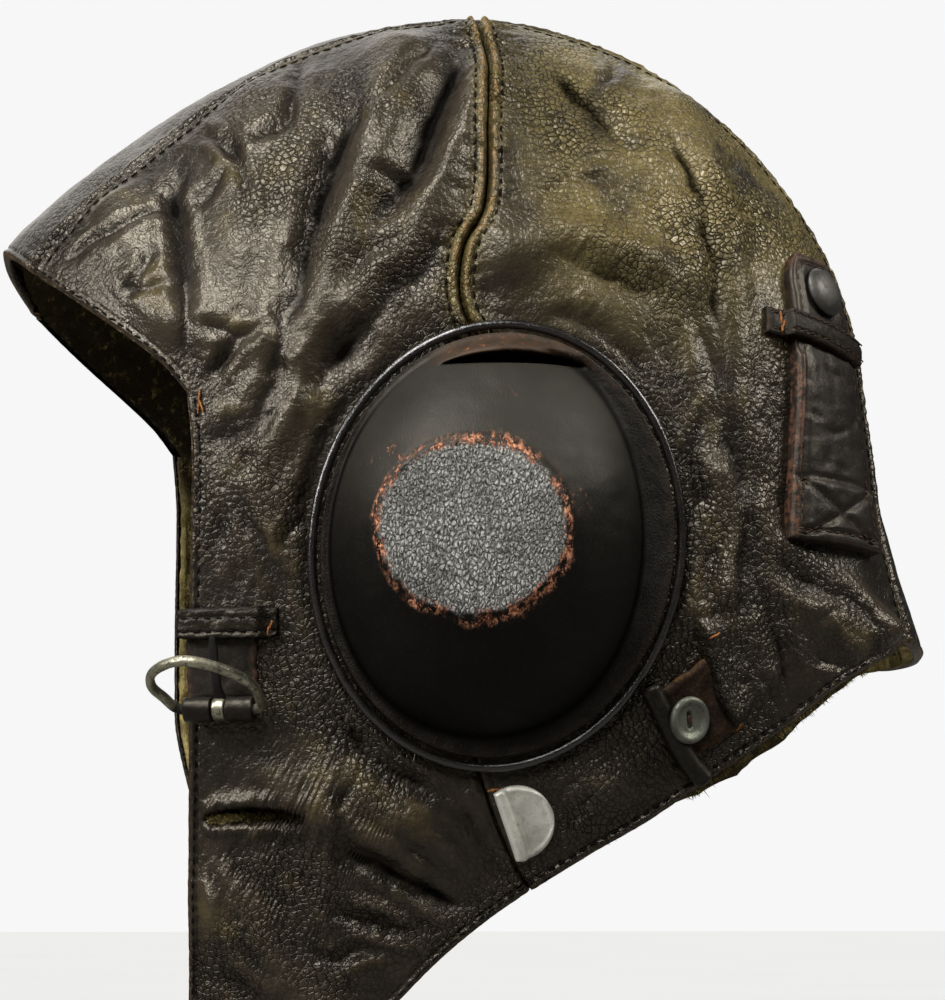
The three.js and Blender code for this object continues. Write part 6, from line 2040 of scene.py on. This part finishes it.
def toward(azimuth, elevation):
    """The direction from which a light or the camera looks."""
    a, e = math.radians(azimuth), math.radians(elevation)
    return Vector((math.sin(a) * math.cos(e), -math.cos(a) * math.cos(e), math.sin(e)))


def stage():
    """A pale paper floor. It throws less light back on the object than it shows to the camera."""
    size, low = FLOOR_SIZE, FLOOR_Z
    me = bpy.data.meshes.new("studio_floor")
    corners = [(-size, -size, low), (size, -size, low), (size, size, low), (-size, size, low)]
    me.from_pydata(corners, [], [(0, 1, 2, 3)])
    n = Nodes("studio_paper")
    tone = n.noise(n.place(), 0.002, 2.0)
    color = n.mix(tone, rgb(0.88, 0.88, 0.87), rgb(0.91, 0.91, 0.90))
    lit = n.add("ShaderNodeBsdfDiffuse", {"Color": color})
    glow = n.add("ShaderNodeEmission", {"Color": color, "Strength": 1.02})
    shown = n.add("ShaderNodeMixShader", {0: 0.75, 1: lit.outputs[0], 2: glow.outputs[0]})
    bounce = n.add("ShaderNodeBsdfDiffuse", {"Color": rgb(0.16, 0.155, 0.15)})
    seen = n.add("ShaderNodeLightPath").outputs["Is Camera Ray"]
    mix = n.add("ShaderNodeMixShader", {0: seen, 1: bounce.outputs[0], 2: shown.outputs[0]})
    out = n.add("ShaderNodeOutputMaterial")
    n.put(out.inputs[0], mix.outputs[0])
    me.materials.append(n.material)
    ob = bpy.data.objects.new("studio_floor", me)
    bpy.context.scene.collection.objects.link(ob)


def light(name, place, target, size, power, color):
    data = bpy.data.lights.new(name, "AREA")
    data.shape = "RECTANGLE"
    data.size = data.size_y = size
    data.energy, data.color = power, color
    ob = bpy.data.objects.new(name, data)
    ob.location = place
    ob.rotation_euler = (Vector(target) - Vector(place)).to_track_quat("-Z", "Y").to_euler()
    bpy.context.scene.collection.objects.link(ob)


def world(shown, lit):
    """Pale behind the object, and a dimmer even light on it."""
    w = bpy.data.worlds.new("studio_world")
    bpy.context.scene.world = w
    w.use_nodes = True
    tree = w.node_tree
    tree.nodes.clear()
    out = tree.nodes.new("ShaderNodeOutputWorld")
    mix = tree.nodes.new("ShaderNodeMixShader")
    seen, light_only = tree.nodes.new("ShaderNodeBackground"), tree.nodes.new("ShaderNodeBackground")
    seen.inputs[0].default_value, seen.inputs[1].default_value = rgb(1.0, 1.0, 1.0), shown
    light_only.inputs[0].default_value, light_only.inputs[1].default_value = rgb(0.93, 0.96, 1.0), lit
    path = tree.nodes.new("ShaderNodeLightPath")
    tree.links.new(path.outputs["Is Camera Ray"], mix.inputs[0])
    tree.links.new(light_only.outputs[0], mix.inputs[1])
    tree.links.new(seen.outputs[0], mix.inputs[2])
    tree.links.new(mix.outputs[0], out.inputs[0])


def sun(name, azimuth, elevation, strength, spread, color):
    data = bpy.data.lights.new(name, "SUN")
    data.energy, data.angle, data.color = strength, math.radians(spread), color
    ob = bpy.data.objects.new(name, data)
    ob.rotation_euler = toward(azimuth, elevation).to_track_quat("Z", "Y").to_euler()
    bpy.context.scene.collection.objects.link(ob)


def camera():
    back = toward(AZIMUTH, ELEVATION)
    data = bpy.data.cameras.new("photo_camera")
    data.sensor_fit = "AUTO"
    data.sensor_width = SENSOR
    data.lens = FOCAL * SENSOR / PICTURE
    data.clip_start, data.clip_end = 0.05, 60
    ob = bpy.data.objects.new("photo_camera", data)
    ob.location = Vector(LOOK_AT) + back * DISTANCE
    ob.rotation_euler = back.to_track_quat("Z", "Y").to_euler()
    bpy.context.scene.collection.objects.link(ob)
    bpy.context.scene.camera = ob


stage()
# where the lights point
AIM = (0.05, -0.005, -0.13)
sun("key_sun", 50, 60, 2.5, 18, (1.0, 0.985, 0.95))
light("front_softbox", (0.45, -1.05, 0.35), AIM, 0.35, 8.5, (1.0, 0.99, 0.97))
light("rear_softbox", (0.30, 0.95, 0.62), AIM, 0.4, 8, (1.0, 0.97, 0.90))
light("camera_softbox", (1.05, -0.30, 0.75), AIM, 0.45, 7, (1.0, 0.99, 0.97))
light("far_panel", (-1.3, -0.15, 0.95), AIM, 1.5, 11, (1.0, 0.97, 0.92))
world(0.93, 0.05)
camera()
scene = bpy.context.scene
scene.view_settings.view_transform = "Standard"
